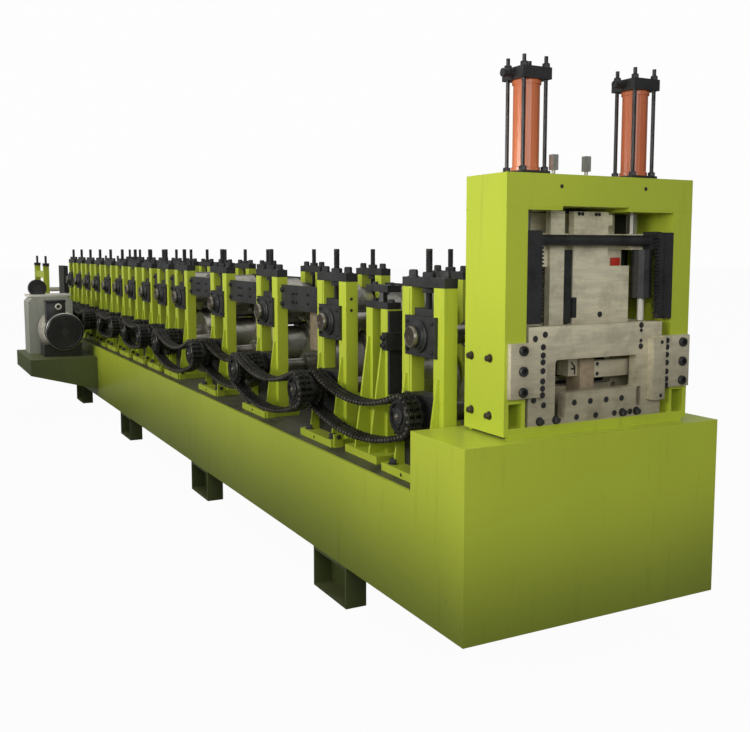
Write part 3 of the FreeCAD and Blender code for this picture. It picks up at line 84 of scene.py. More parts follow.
# %% [markdown]
# ## Shapes
# A shape is gathered in one mesh. Round things are spun from a profile, flat ones are extruded from an
# outline, and a finished shape can be stamped into another one many times. The real pieces are made in
# much the same way, turned on a lathe or cut from plate.

# %% Shape tools
FACING = {
    "up": Matrix.Identity(4),
    "near": Matrix.Rotation(math.pi / 2, 4, "X"),
    "far": Matrix.Rotation(-math.pi / 2, 4, "X"),
    "exit": Matrix.Rotation(math.pi / 2, 4, "Y"),
}
ACROSS = {"X": (1, 2, 0), "Y": (0, 2, 1)}


def at(x, y, z, way="up"):
    """A place and a direction for a shape that was made along +Z."""
    return Matrix.Translation((x, y, z)) @ FACING[way]


def outward(side):
    """The direction away from the strip on either side of the machine."""
    return "near" if side < 0 else "far"


class Shape:
    """One mesh in the making."""

    def __init__(self):
        self.mesh = bmesh.new()
        self.stored = None

    def box(self, x, y, z):
        """A block between a low and a high value on each axis."""
        size = [high - low for low, high in (x, y, z)]
        middle = [(high + low) / 2 for low, high in (x, y, z)]
        place = Matrix.Translation(middle) @ Matrix.Diagonal((*size, 1))
        bmesh.ops.create_cube(self.mesh, size=1, matrix=place)
        return self

    def prism(self, outline, axis, low, high):
        """An outline drawn on the two other axes and pulled along X or Y."""
        first, second, third = ACROSS[axis]
        corners = []
        for a, b in outline:
            spot = Vector()
            spot[first], spot[second], spot[third] = a, b, low
            corners.append(self.mesh.verts.new(spot))
        face = self.mesh.faces.new(corners)
        grown = bmesh.ops.extrude_face_region(self.mesh, geom=[face])["geom"]
        push = Vector()
        push[third] = high - low
        moved = [item for item in grown if isinstance(item, bmesh.types.BMVert)]
        bmesh.ops.translate(self.mesh, vec=push, verts=moved)
        return self

    def turned(self, profile, steps, matrix=Matrix.Identity(4)):
        """A profile of (height, radius) points spun round the Z axis, then put in place."""
        made = bmesh.new()
        spots = [made.verts.new((radius, 0, height)) for height, radius in profile]
        edges = [made.edges.new(pair) for pair in zip(spots, spots[1:])]
        bmesh.ops.spin(
            made, geom=spots + edges, cent=(0, 0, 0), axis=(0, 0, 1), angle=math.tau, steps=steps,
            use_merge=True,
        )
        bmesh.ops.remove_doubles(made, verts=made.verts, dist=1e-6)
        bmesh.ops.transform(made, matrix=matrix, verts=made.verts)
        kept = bpy.data.meshes.new("turned")
        made.to_mesh(kept)
        made.free()
        self.mesh.from_mesh(kept)
        bpy.data.meshes.remove(kept)
        return self

    def soften(self, offset, segments=2, sharp=0.5):
        """Rounds every edge that turns by more than sharp radians."""
        inner = [edge for edge in self.mesh.edges if len(edge.link_faces) == 2]
        edges = [edge for edge in inner if edge.calc_face_angle() > sharp]
        bmesh.ops.bevel(
            self.mesh, geom=edges, offset=offset, segments=segments, profile=0.5, affect="EDGES", material=-1,
            clamp_overlap=True,
        )
        return self

    def stamp(self, other, *places):
        """Copies of another shape at each place."""
        if other.stored is None:
            other.stored = bpy.data.meshes.new("stamp")
            other.mesh.to_mesh(other.stored)
        for place in places:
            copy = other.stored.copy()
            copy.transform(place)
            self.mesh.from_mesh(copy)
            bpy.data.meshes.remove(copy)
        return self

    def finish(self, name, material, slot, replaces=()):
        """The finished piece, moved from bed coordinates to the row's own."""
        bmesh.ops.translate(self.mesh, vec=ORIGIN, verts=self.mesh.verts)
        bmesh.ops.recalc_face_normals(self.mesh, faces=self.mesh.faces)
        data = bpy.data.meshes.new(name)
        self.mesh.to_mesh(data)
        self.mesh.free()
        data.shade_smooth()
        data.set_sharp_from_angle(angle=math.radians(38))
        data.materials.append(material)
        piece = bpy.data.objects.new(name, data)
        bpy.context.collection.objects.link(piece)
        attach(piece, "root")
        if replaces:
            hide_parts(*replaces)
        print(name, len(data.polygons), "faces")


# %% [markdown]
# ## Shader formulas
# A wire is one output of a shader node. Its operators build Math nodes, so a finish reads as a formula.
# The patterns are noise on an object's own coordinates, so they need no unwrapping and no image.

# %% Wires and graphs
class Wire:
    """A node output that can be used in a formula."""

    def __init__(self, graph, output):
        self.graph = graph
        self.output = output

    def formula(self, operation, *values):
        return self.graph.node("ShaderNodeMath", {"operation": operation}, dict(enumerate(values)))

    def __add__(self, other):
        return self.formula("ADD", self, other)

    def __radd__(self, other):
        return self.formula("ADD", other, self)

    def __rsub__(self, other):
        return self.formula("SUBTRACT", other, self)

    def __mul__(self, other):
        return self.formula("MULTIPLY", self, other)

    def between(self, low, high):
        """0 below low, 1 above high, smooth in between."""
        sockets = {0: self, 1: low, 2: high}
        return self.graph.node("ShaderNodeMapRange", {"interpolation_type": "SMOOTHSTEP"}, sockets)


class Graph:
    """The nodes of one material."""

    def __init__(self, name):
        self.material = bpy.data.materials.new(name)
        self.material.use_nodes = True
        self.tree = self.material.node_tree
        self.tree.nodes.clear()
        self.place = self.node("ShaderNodeTexCoord", output="Object")

    def node(self, kind, settings=None, sockets=None, output=0):
        """Any node, from its type, its settings and its sockets."""
        made = self.tree.nodes.new(kind)
        for name, value in (settings or {}).items():
            setattr(made, name, value)
        for name, value in (sockets or {}).items():
            if isinstance(value, Wire):
                self.tree.links.new(value.output, made.inputs[name])
            else:
                made.inputs[name].default_value = value
        return Wire(self, made.outputs[output]) if made.outputs else None

    def stretched(self, x, y, z):
        """The place in space, scaled on each axis."""
        return self.node("ShaderNodeVectorMath", {"operation": "MULTIPLY"}, {0: self.place, 1: (x, y, z)})

    def noise(self, scale, detail=3.0, rough=0.55, where=None):
        sockets = {"Vector": where or self.place, "Scale": scale, "Detail": detail, "Roughness": rough}
        return self.node("ShaderNodeTexNoise", sockets=sockets)

    def mix(self, factor, first, second):
        """A colour between two colours."""
        return self.node("ShaderNodeMix", {"data_type": "RGBA"}, {0: factor, 6: first, 7: second}, output=2)

    def height(self, low, high):
        """0 below one level of the room and 1 above another."""
        return self.node("ShaderNodeSeparateXYZ", sockets={0: self.place}, output=2).between(low, high)

    def paint_low_shade(self, factor, tone, low_shade):
        """A colour darkened by painted shade."""
        settings = {"data_type": "RGBA", "blend_type": "MULTIPLY"}
        return self.node("ShaderNodeMix", settings, {0: factor, 6: tone, 7: low_shade}, output=2)

    def facing_up(self):
        """1 on faces that look up, where dust settles."""
        normal = self.node("ShaderNodeNewGeometry", output="Normal")
        split = self.node("ShaderNodeSeparateXYZ", sockets={0: normal}, output=2)
        return split.between(0.6, 0.95)

    def close(self, shader):
        self.node("ShaderNodeOutputMaterial", sockets={0: shader})
        return self.material


def colour(red, green, blue):
    """A linear colour from the values that a screen shows."""
    return tuple((value / 255) ** 2.2 for value in (red, green, blue)) + (1.0,)


# %% [markdown]
# ## Painted steel
# The machine green is thick gloss paint with slow shifts in tone, an orange-peel skin, grime that
# runs down and a little dust on top. Painted shade darkens whatever stands low, so the paint grows
# darker towards the floor. The other paints share the same build in their own colours, so one function makes
# them all.

# %% Painted finishes
DUST = colour(150, 140, 118)
# The colour of the painted shade that darkens low parts towards the floor.
LOW_SHADE_COLOUR = (0.30, 0.31, 0.30, 1)


def painted(name, base, shade, grime, gloss=0.36, dust=0.25, grime_amount=0.35, peel=0.10, low_shade=0.0):
    """Paint from three colours as a screen shows them."""
    base, shade, grime = (colour(*shown) for shown in (base, shade, grime))
    graph = Graph(name)
    slow = graph.noise(0.9, 2.0).between(0.3, 0.7)
    skin = graph.noise(420.0, 2.0)
    runs = graph.noise(1.0, 4.0, 0.6, graph.stretched(26.0, 26.0, 2.6)).between(0.56, 0.78)
    spots = graph.noise(34.0, 5.0, 0.7).between(0.62, 0.8)
    speckle = graph.noise(150.0, 3.0, 0.6).between(0.66, 0.8)
    dusty = graph.facing_up() * graph.noise(7.0, 5.0, 0.65).between(0.35, 0.75) * dust
    tone = graph.mix(slow, base, shade)
    tone = graph.mix(runs * grime_amount * 0.5, tone, grime)
    tone = graph.mix(spots * grime_amount, tone, grime)
    tone = graph.mix(speckle * grime_amount * 0.8, tone, grime)
    tone = graph.mix(dusty, tone, DUST)
    # Painted shade: the tone grows darker towards the floor, by the amount given last.
    tone = graph.paint_low_shade((1 - graph.height(0.05, 0.66)) * low_shade, tone, LOW_SHADE_COLOUR)
    rough = gloss + spots * 0.18 + runs * 0.08 + dusty * 0.5
    bump = graph.node("ShaderNodeBump", sockets={
        "Strength": peel, "Distance": 0.0008, "Height": skin + spots * -0.6,
    })
    shader = graph.node("ShaderNodeBsdfPrincipled", sockets={
        "Base Color": tone, "Roughness": rough, "Normal": bump, "Specular IOR Level": 0.5,
        "Coat Weight": 0.12, "Coat Roughness": 0.22,
    })
    return graph.close(shader)


# The machine green's last value sets its painted shade towards the floor.
GREEN = painted(
    "machine_green", (186, 200, 62), (174, 188, 58), (92, 94, 46), 0.30, 0.12, 0.3, 0.10, 0.85
)
# A darker copy of the machine green: painted shade for pieces that stand in shadow under the bed, with
# heavier grime.
SHADED_GREEN = painted(
    "stained_green", (96, 106, 56), (78, 86, 48), (44, 46, 32), 0.45, 0.25, 0.6, 0.12
)
MOTOR_GREY = painted("motor_grey", (188, 188, 174), (136, 138, 128), (54, 52, 46), 0.42, 0.4, 0.9)
PALE_ENAMEL = painted("pale_enamel", (226, 222, 208), (200, 196, 184), (96, 88, 74), 0.4, 0.4, 0.5)
MOTOR_BLACK = painted("motor_black", (38, 39, 40), (50, 51, 51), (96, 90, 80), 0.4, 0.5, 0.5)
CYLINDER_PAINT = painted("cylinder_paint", (216, 124, 78), (190, 98, 60), (104, 52, 34), 0.3, 0.2, 0.5)
FLAG_RED = painted("flag_red", (214, 62, 44), (192, 52, 38), (110, 40, 30), 0.4, 0.1, 0.2)
print("painted finishes:", len(bpy.data.materials))

# %% [markdown]
# ## Bare steel
# Bare steel is metal with a direction: grinding marks run one way, oil and fingerprints darken it in
# blotches, and rust shows in patches. One function makes them all, because they differ only in colour,
# in the way of the marks, and in how oily and rusty they are.

# %% Steel finishes
# The colour of the painted shade that darkens the lower tool steel.
TOOL_SHADE_COLOUR = (0.42, 0.40, 0.38, 1)


def steel(
    name, base, dark, rust, rough=0.34, metallic=0.9, grain=(6.0, 260.0, 260.0), oil=0.5, rusty=0.25,
    dent=0.25, low_shade=0.0,
):
    """Bare metal from three colours as a screen shows them."""
    base, dark, rust = (colour(*shown) for shown in (base, dark, rust))
    graph = Graph(name)
    marks = graph.noise(1.0, 3.0, 0.6, graph.stretched(*grain))
    blotch = graph.noise(11.0, 5.0, 0.62).between(0.42, 0.72)
    pits = graph.noise(75.0, 5.0, 0.7).between(0.55, 0.75)
    rusted = graph.noise(19.0, 6.0, 0.7).between(0.58, 0.8)
    mark_tone = tuple(value * 0.84 for value in base[:3]) + (1.0,)
    tone = graph.mix(marks.between(0.35, 0.65), base, mark_tone)
    tone = graph.mix(blotch * oil, tone, dark)
    tone = graph.mix(rusted * pits * rusty + rusted * rusty * 0.35, tone, rust)
    # Painted shade: the tone grows darker towards the bottom, by the amount given last.
    tone = graph.paint_low_shade((1 - graph.height(0.86, 1.32)) * low_shade, tone, TOOL_SHADE_COLOUR)
    roughness = rough + marks * 0.12 + pits * 0.12 + rusted * rusty * 0.5
    metal = metallic - rusted * rusty
    bump = graph.node("ShaderNodeBump", sockets={
        "Strength": dent, "Distance": 0.0006, "Height": marks * 0.6 + pits * -0.8,
    })
    shader = graph.node("ShaderNodeBsdfPrincipled", sockets={
        "Base Color": tone, "Roughness": roughness, "Metallic": metal, "Normal": bump,
    })
    return graph.close(shader)


RUST = (112, 72, 46)
WORN_STEEL = steel("worn_bed_top", (96, 95, 84), (44, 43, 36), RUST, 0.42, 0.4, (3, 40, 40), 0.8, 0.5)
BLACK_OXIDE = steel(
    "black_oxide", (66, 66, 66), (34, 34, 34), (96, 76, 60), 0.42, 0.55, (90, 90, 90), 0.6, 0.4
)
# The ground tool steel's last value sets its painted shade on the lower parts.
TOOL_STEEL = steel(
    "ground_tool_steel", (236, 228, 196), (164, 154, 128), (150, 116, 88),
    0.40, 0.12, (60, 8, 60), 0.55, 0.4, 0.25, 0.85,
)
INSERT_STEEL = steel(
    "tempered_insert", (176, 158, 130), (124, 108, 88), (120, 88, 62), 0.46, 0.2, (50, 50, 50), 0.5, 0.4
)
ROLL_STEEL = steel(
    "polished_rolls", (168, 164, 152), (70, 66, 58), RUST, 0.26, 0.9, (200, 6, 200), 0.7, 0.3
)
CHAIN_STEEL = steel(
    "greasy_chain", (60, 59, 56), (22, 21, 20), (70, 56, 42), 0.34, 0.6, (60, 60, 60), 0.9, 0.3
)
PIN_STEEL = steel(
    "chain_pins", (150, 144, 130), (60, 56, 50), (96, 74, 54), 0.3, 0.8, (90, 90, 90), 0.7, 0.2
)
FACE_STEEL = steel(
    "oiled_shaft_faces", (84, 76, 66), (52, 46, 40), (112, 80, 56), 0.36, 0.6, (40, 40, 40), 0.6, 0.6
)
ZINC = steel("zinc_plate", (192, 190, 180), (130, 128, 118), RUST, 0.3, 0.85, (80, 80, 80), 0.4, 0.1)
GUARD_BROWN = steel(
    "primed_guards", (140, 126, 104), (86, 77, 63), (98, 72, 50), 0.6, 0.15, (30, 30, 30), 0.4, 0.5
)
SLOTS = {
    "green_paint": GREEN, "worn_steel": WORN_STEEL, "black_oxide": BLACK_OXIDE, "tool_steel": TOOL_STEEL,
    "roll_steel": ROLL_STEEL, "chain_steel": CHAIN_STEEL, "cylinder_paint": CYLINDER_PAINT,
    "motor_grey": MOTOR_GREY, "motor_black": MOTOR_BLACK, "zinc": ZINC,
}
print("slots with a finish:", len(SLOTS))

# %% [markdown]
# ## CAD pieces
# Each CAD node takes the finish of its slot. Flat-cut plates get a small rounded edge from a modifier,
# which catches the light the way a dressed edge does.

# %% Finish the CAD nodes
# The platform and the bed's feet take the darker copy of the green, which paints the shade where they stand.
OTHERS = {
    "motor_platform": SHADED_GREEN, "bed_feet": SHADED_GREEN, "cylinder_tie_rods": BLACK_OXIDE,
    "motor_foot": MOTOR_BLACK,
}
ROUNDED = {"green_paint": 0.0022, "tool_steel": 0.0012, "black_oxide": 0.0015, "motor_grey": 0.004}
for part in frame["record"]["subparts"]:
    piece = frame["nodes"][part["node"]]
    slot = part["material_slot"]
    finish = OTHERS.get(part["node"], SLOTS[slot])
    if not piece.material_slots:
        piece.data.materials.append(finish)
    for place in piece.material_slots:
        place.link = "OBJECT"
        place.material = finish
    if slot in ROUNDED:
        edge = piece.modifiers.new("dressed_edges", "BEVEL")
        edge.width = ROUNDED[slot]
        edge.segments = 2
        edge.limit_method = "ANGLE"
        edge.angle_limit = math.radians(50)
        edge.harden_normals = False

# %% [markdown]
# ## Fasteners
# Hundreds of bolts and screws hold the machine together. Each kind is made once along +Z and stamped
# wherever it is needed, with few sides, because it shows only small.

# %% Fasteners
def hex_bolt(radius, height):
    """A hexagon head with its corners turned off, on a washer."""
    bolt = Shape()
    foot = radius * 0.16
    bolt.turned([(0, 0), (0, radius * 1.3), (foot, radius * 1.3), (foot, 0)], 12)
    top = foot + height
    bolt.turned([(foot, 0), (foot, radius), (top - height * 0.22, radius), (top, radius * 0.8), (top, 0)], 6)
    return bolt


def socket_bolt(radius, height):
    """A round head with a hexagon socket."""
    hole = radius * 0.5
    return Shape().turned([
        (0, 0), (0, radius), (height * 0.85, radius), (height, radius * 0.88), (height, hole),
        (height * 0.35, hole), (height * 0.35, 0),
    ], 12)


def threaded(radius, length, pitch, steps=10):
    """A threaded bar with a turned-down end."""
    profile = [(0, 0)]
    count = int(length / pitch)
    for index in range(count):
        profile += [(pitch * index, radius * 0.86), (pitch * (index + 0.5), radius)]
    profile += [(length - pitch * 0.4, radius * 0.9), (length, radius * 0.75), (length, 0)]
    return Shape().turned(profile, steps)


def sunk_screw(radius):
    """A socket screw in a counterbore, seen as a dark disc with a ring in it."""
    return Shape().turned([
        (-0.002, 0), (-0.002, radius), (0.0008, radius), (0.0008, radius * 0.84), (0.0003, radius * 0.80),
        (0.0014, radius * 0.72), (0.0014, radius * 0.40), (0.0004, radius * 0.36), (0.0004, 0),
    ], 14)


SMALL_BOLT = hex_bolt(0.008, 0.008)
MIDDLE_BOLT = hex_bolt(0.011, 0.010)
LARGE_BOLT = hex_bolt(0.016, 0.018)
SMALL_SUNK = sunk_screw(0.0068)
MIDDLE_SUNK = sunk_screw(0.0105)
SMALL_SOCKET = socket_bolt(0.0075, 0.008)
MIDDLE_SOCKET = socket_bolt(0.011, 0.012)
LARGE_SOCKET = socket_bolt(0.0165, 0.018)
print("small bolt faces:", len(SMALL_BOLT.mesh.faces))

# %% [markdown]
# ## Screws of the stands
# Over each upper bearing block a threaded screw sets the height of the roll. It passes the cap plate
# between two nuts, and two bolts hold the cap. The thread is a saw-toothed profile spun round, which
# costs far fewer faces than a helix.

# %% Screws and cap bolts
BLOCK_HALF = 0.0725
PAD = 0.026
SCREW_TOP = 1.254
pad_top = UPPER_AXIS + BLOCK_HALF + PAD
screw = threaded(0.013, SCREW_TOP - pad_top, 0.0055)
nut = Shape().turned([(0, 0), (0, 0.024), (0.016, 0.024), (0.020, 0.020), (0.020, 0)], 6)
cap_bolt = hex_bolt(0.017, 0.024)
screws = Shape()
for x in STATIONS:
    for y, _ in AXES:
        screws.stamp(screw, at(x, y, pad_top))
        screws.stamp(nut, at(x, y, CAP_TOP), at(x, y, CAP_TOP - 0.055))
        screws.stamp(cap_bolt, at(x - 0.112, y, CAP_TOP), at(x + 0.112, y, CAP_TOP))
screws.finish("stand_screws", BLACK_OXIDE, "black_oxide", ["adjusting_screws"])

# %% [markdown]
# ## Bearing covers
# A turned cover closes each bearing that has no sprocket before it, with the shaft's dark face and a
# bright rim in its middle. All are profiles spun round, as on a lathe. Rim and face are pieces of their
# own because their finishes differ from the cover's.

# %% Bearing covers
COVER = 0.030
cover = Shape().turned([
    (0, 0), (0, 0.058), (0.008, 0.058), (0.011, 0.055), (0.011, 0.050), (0.016, 0.049), (0.019, 0.046),
    (0.019, 0.038), (0.030, 0.038), (0.030, 0),
], 28)
rim_ring = Shape().turned([
    (0, 0.028), (0, 0.038), (0.010, 0.038), (0.013, 0.036), (0.013, 0.033), (0.010, 0.032), (0.010, 0.028),
    (0, 0.028),
], 28)
disc_profile = [(0, 0), (0, 0.032), (0.011, 0.032), (0.011, 0.012), (0.009, 0.010), (0.009, 0)]
cover_disc = Shape().turned(disc_profile, 24)
covers = Shape()
rims = Shape()
discs = Shape()
plate_face = 0.027 + 0.012
for x in STATIONS:
    for y, side in AXES:
        face = y + side * plate_face
        way = outward(side)
        for z in [UPPER_AXIS, LOWER_AXIS] if side > 0 else [UPPER_AXIS]:
            covers.stamp(cover, at(x, face, z, way))
            discs.stamp(cover_disc, at(x, face + side * COVER, z, way))
            rims.stamp(rim_ring, at(x, face + side * COVER, z, way))
        for dx in (-0.085, 0.085):
            for dz in (-0.052, 0.052):
                covers.stamp(SMALL_SOCKET, at(x + dx, face, UPPER_AXIS + dz, way))
                covers.stamp(SMALL_SOCKET, at(x + dx, face, LOWER_AXIS + dz, way))
covers.finish("bearing_covers", BLACK_OXIDE, "black_oxide", ["shaft_ends"])
rims.finish("shaft_rims", PIN_STEEL, "chain_steel")
discs.finish("shaft_discs", FACE_STEEL, "black_oxide")

# %% [markdown]
# ## Feet of the stands
# Bolts hold each base plate to the bed, and a small welded lug with a jacking screw pushes it into line.
# The lug is cut from plate, so it is an outline pulled to its thickness.

# %% Base lugs and bolts
lugs = Shape()
lug_bolts = Shape()
lug_outline = [(-0.020, 0), (0.020, 0), (0.020, 0.046), (0.008, 0.056), (-0.020, 0.056)]
lug = Shape().prism(lug_outline, "X", 0, 0.012)
for x in STATIONS:
    for y, side in AXES:
        edge = y + side * 0.078
        lugs.stamp(lug, at(x + 0.165, edge, BED_TOP))
        lug_bolts.stamp(SMALL_BOLT, at(x + 0.177, edge, BED_TOP + 0.044, "exit"))
        lug_bolts.stamp(LARGE_BOLT, at(x - 0.120, edge, BASE_TOP), at(x + 0.120, edge, BASE_TOP))
        rim_face = y + side * 0.107
        lug_bolts.stamp(SMALL_SUNK, at(x - 0.012, rim_face, BED_TOP + 0.014, outward(side)))
for height in (1.045, 0.997):
    lug_bolts.stamp(SMALL_SUNK, at(STATIONS[1] + 0.147, 0.164, height, "exit"))
lugs.finish("base_lugs", GREEN, "green_paint")
lug_bolts.finish("base_bolts", BLACK_OXIDE, "black_oxide")

# %% [markdown]
# ## Rolls
# Each pair of rolls is a stack of turned discs on its shaft. The steps between the discs grow from the
# entry end to the exit, the way a profile is bent a little further in every stand. Little of them shows
# between the posts, so the exact steps are chosen to look right and aren't measured.

# %% Rolls
DEEPEST_BEND = 0.034
mean = 0.141
inner, outer = 0.470, 0.632
upper = Shape()
lower = Shape()
for index, x in enumerate(STATIONS):
    bend = DEEPEST_BEND * (1 - index / (STANDS + 1))
    slope = 0.012 + 0.010 * index / STANDS
    low_edge, high_edge = mean - bend, mean + bend
    upper.turned([
        (0.196, 0), (0.196, 0.035), (0.330, 0.035), (0.330, 0.052), (0.392, 0.052), (0.392, low_edge - 0.006),
        (0.398, low_edge), (inner - slope, low_edge), (inner, mean - 0.004), (inner + 0.004, mean),
        (outer - 0.004, mean), (outer, mean - 0.004), (outer + slope, low_edge), (0.702, low_edge),
        (0.708, low_edge - 0.006), (0.708, 0.035), (0.716, 0.035), (0.716, 0),
    ], 32, at(x, 0, UPPER_AXIS, "far"))
    lower.turned([
        (0.196, 0), (0.196, 0.035), (0.340, 0.035), (0.340, 0.060), (0.400, 0.060),
        (0.400, high_edge - 0.010), (0.410, high_edge - 0.003), (inner - slope - 0.003, high_edge - 0.003),
        (inner - 0.003, mean - 0.003), (outer + 0.003, mean - 0.003),
        (outer + slope + 0.003, high_edge - 0.003),
        (0.692, high_edge - 0.003), (0.700, high_edge - 0.010), (0.700, 0.035), (0.716, 0.035), (0.716, 0),
    ], 32, at(x, 0, LOWER_AXIS, "far"))
upper.finish("upper_roll_sets", ROLL_STEEL, "roll_steel", ["upper_rolls"])
lower.finish("lower_roll_sets", ROLL_STEEL, "roll_steel", ["lower_rolls"])

# %% [markdown]
# ## Chain drive
# Each pair of stands shares a duplex roller chain. The chains lie in two lanes, in turn, so every
# sprocket but the first is twice as wide. Both strands hang slack, as they do on a stopped machine.

# %% Sprockets
LINK = 0.0254
INNER_LANE = 0.066
OUTER_LANE = -0.014
MOTOR_LANE = -0.065
TOOTH = ((-0.34, 0.0655), (-0.22, 0.0720), (-0.09, 0.0790), (0.09, 0.0790), (0.22, 0.0720), (0.34, 0.0655))


def tooth_row(thickness=0.0105, teeth=18):
    """One row of teeth with the seats that the chain rollers lie in."""
    outline = []
    for index in range(teeth):
        for part, radius in TOOTH:
            angle = math.tau * (index + part) / teeth
            outline.append((radius * math.cos(angle), radius * math.sin(angle)))
    return Shape().prism(outline, "Y", -thickness / 2, thickness / 2)


row = tooth_row()
wheels = Shape()
nuts = Shape()
bolts = Shape()
for index, x in enumerate(STATIONS):
    lanes = [INNER_LANE] if index == 0 else [INNER_LANE, OUTER_LANE]
    for lane in lanes:
        for offset in (-0.0145, 0.0145):
            wheels.stamp(row, at(x, lane + offset, LOWER_AXIS))
    front = lanes[-1] - 0.030
    wheels.turned([
        (front + 0.008, 0), (front + 0.008, 0.046), (front, 0.048), (front, 0.058), (front + 0.004, 0.062),
        (front + 0.010, 0.062), (front + 0.012, 0.058), (lanes[-1] - 0.008, 0.060),
        (lanes[0] + 0.022, 0.060), (lanes[0] + 0.030, 0.047), (0.128, 0.047), (0.128, 0),
    ], 28, at(x, 0, LOWER_AXIS, "far"))
    face = front + 0.008
    washer = [(0, 0), (0, 0.030), (0.005, 0.030), (0.007, 0.028), (0.007, 0)]
    nuts.turned(washer, 24, at(x, face, LOWER_AXIS, "near"))
    for turn in range(3):
        angle = math.tau * (turn + 0.25) / 3
        across, up = 0.038 * math.cos(angle), 0.038 * math.sin(angle)
        nuts.stamp(SMALL_SOCKET, at(x + across, face, LOWER_AXIS + up, "near"))
    bolts.stamp(hex_bolt(0.009, 0.006), at(x, face - 0.007, LOWER_AXIS, "near"))
wheels.finish("sprocket_wheels", CHAIN_STEEL, "chain_steel", ["sprockets"])
nuts.finish("sprocket_plates", BLACK_OXIDE, "black_oxide")
bolts.finish("sprocket_bolts", PIN_STEEL, "chain_steel")

# %% [markdown]
# ## Chain links
# A roller chain is a row of links, wide and narrow in turn, joined by pins with rollers between the
# plates. Each kind of link is made once and laid along the chain's path, turned to follow it. Single
# links show the gaps and waists that a patterned band can't.

# %% Chain links
UPPER_SAG = 0.070
LOWER_SAG = 0.062
PATH_STEPS = 60


def link_plate(length, y_low, y_high, waist=0.0088, end=0.0116):
    """One side plate of a link, with its waist."""
    half = length / 2
    outline = [
        (-half - end, 0), (-half - end * 0.6, end * 0.8), (-half, end), (0, waist), (half, end),
        (half + end * 0.6, end * 0.8), (half + end, 0), (half + end * 0.6, -end * 0.8), (half, -end),
        (0, -waist), (-half, -end), (-half - end * 0.6, -end * 0.8),
    ]
    return Shape().prism(outline, "Y", y_low, y_high)


def chain_link(width, outside):
    """The plates of one link, wide or narrow, and the rollers at its first pin."""
    link = Shape()
    edge = width / 2
    if outside:
        plates = ((-edge, -edge + 0.003), (-0.002, 0.002), (edge - 0.003, edge))
    else:
        plates = (
            (-edge + 0.0035, -edge + 0.0065), (-0.0062, -0.0032), (0.0032, 0.0062),
            (edge - 0.0065, edge - 0.0035),
        )
    for low, high in plates:
        link.stamp(link_plate(LINK, low, high), Matrix.Identity(4))
    radius = 0.0078
    first_pin = at(-LINK / 2, 0, 0, "far")
    for low, high in ((-edge + 0.0065, -0.0062), (0.0062, edge - 0.0065)):
        link.turned([(low, 0), (low, radius), (high, radius), (high, 0)], 8, first_pin)
    return link


def chain_path(distance, upper_sag, lower_sag, seat=0.0683, offset=0.0048):
    """Points round two wheels: two wraps and two strands that hang as shallow arcs."""
    half = distance / 2
    high = seat - upper_sag
    high_radius = (half ** 2 + high ** 2 - seat ** 2) / (2 * (seat - high))
    low = seat + lower_sag
    low_radius = (half ** 2 + low ** 2 - seat ** 2) / (2 * (low - seat))
    high_middle = (half, high_radius + high)
    low_middle = (half, low_radius - low)
    high_angle = math.atan2(high_middle[1], high_middle[0])
    low_angle = math.atan2(-low_middle[1], -low_middle[0])
    arcs = (
        ((0, 0), seat + offset, math.tau + low_angle, high_angle),
        (high_middle, high_radius - offset, math.pi + high_angle, math.tau - high_angle),
        ((distance, 0), seat + offset, math.pi - high_angle, -math.pi - low_angle),
        (low_middle, low_radius + offset, -math.pi - low_angle, low_angle),
    )
    points = []
    for (x, z), radius, start, stop in arcs:
        for step in range(PATH_STEPS):
            angle = start + (stop - start) * step / PATH_STEPS
            points.append(Vector((x + radius * math.cos(angle), 0, z + radius * math.sin(angle))))
    return points


def walk(points, spacing):
    """Places along a closed path at even spacing, with the nearest even count."""
    loop = points + points[:1]
    lengths = [(b - a).length for a, b in zip(loop, loop[1:])]
    count = max(2, 2 * round(sum(lengths) / spacing / 2))
    step = sum(lengths) / count
    spots = []
    travelled = 0.0
    target = 0.0
    for (a, b), length in zip(zip(loop, loop[1:]), lengths):
        while len(spots) < count and target <= travelled + length:
            spots.append(a.lerp(b, (target - travelled) / length))
            target += step
        travelled += length
    return spots


OUTER_LINK = chain_link(0.054, True)
INNER_LINK = chain_link(0.054, False)
PIN_HALF = 0.0308
PIN = Shape().turned(
    [(-PIN_HALF, 0), (-PIN_HALF, 0.0050), (PIN_HALF, 0.0050), (PIN_HALF, 0)], 8, FACING["far"]
)
pins = Shape()


def lay_chain(shape, start, stop, lane, height, scale=1.0):
    """A closed chain between two shafts."""
    distance = stop - start
    slack = (distance / WIDE_PITCH) ** 2
    spots = walk(chain_path(distance, UPPER_SAG * slack, LOWER_SAG * slack), LINK)
    corner = Vector((start, lane, height))
    for index, (a, b) in enumerate(zip(spots, spots[1:] + spots[:1])):
        along = b - a
        turn = Matrix.Rotation(-math.atan2(along.z, along.x), 4, "Y")
        middle = (a + b) / 2 + corner
        place = Matrix.Translation(middle) @ turn @ Matrix.Diagonal((along.length / LINK, scale, 1, 1))
        shape.stamp(OUTER_LINK if index % 2 else INNER_LINK, place)
        pins.stamp(PIN, Matrix.Translation(a + corner) @ Matrix.Diagonal((1, scale, 1, 1)))
    return len(spots)


chains = [Shape(), Shape()]
count = 0
for index in range(STANDS - 1):
    lane = OUTER_LANE if index % 2 else INNER_LANE
    count += lay_chain(chains[index % 2], STATIONS[index + 1], STATIONS[index], lane, LOWER_AXIS)
chains[0].finish("inner_chains", CHAIN_STEEL, "chain_steel", ["drive_chains"])
chains[1].finish("outer_chains", CHAIN_STEEL, "chain_steel")
print("chain links:", count)

# %% [markdown]
# ## Motor chain
# One more chain brings the drive from the reducer to a stand, outside the other lanes. It is the same
# chain made narrower, and its two sprockets use the row of teeth from above.

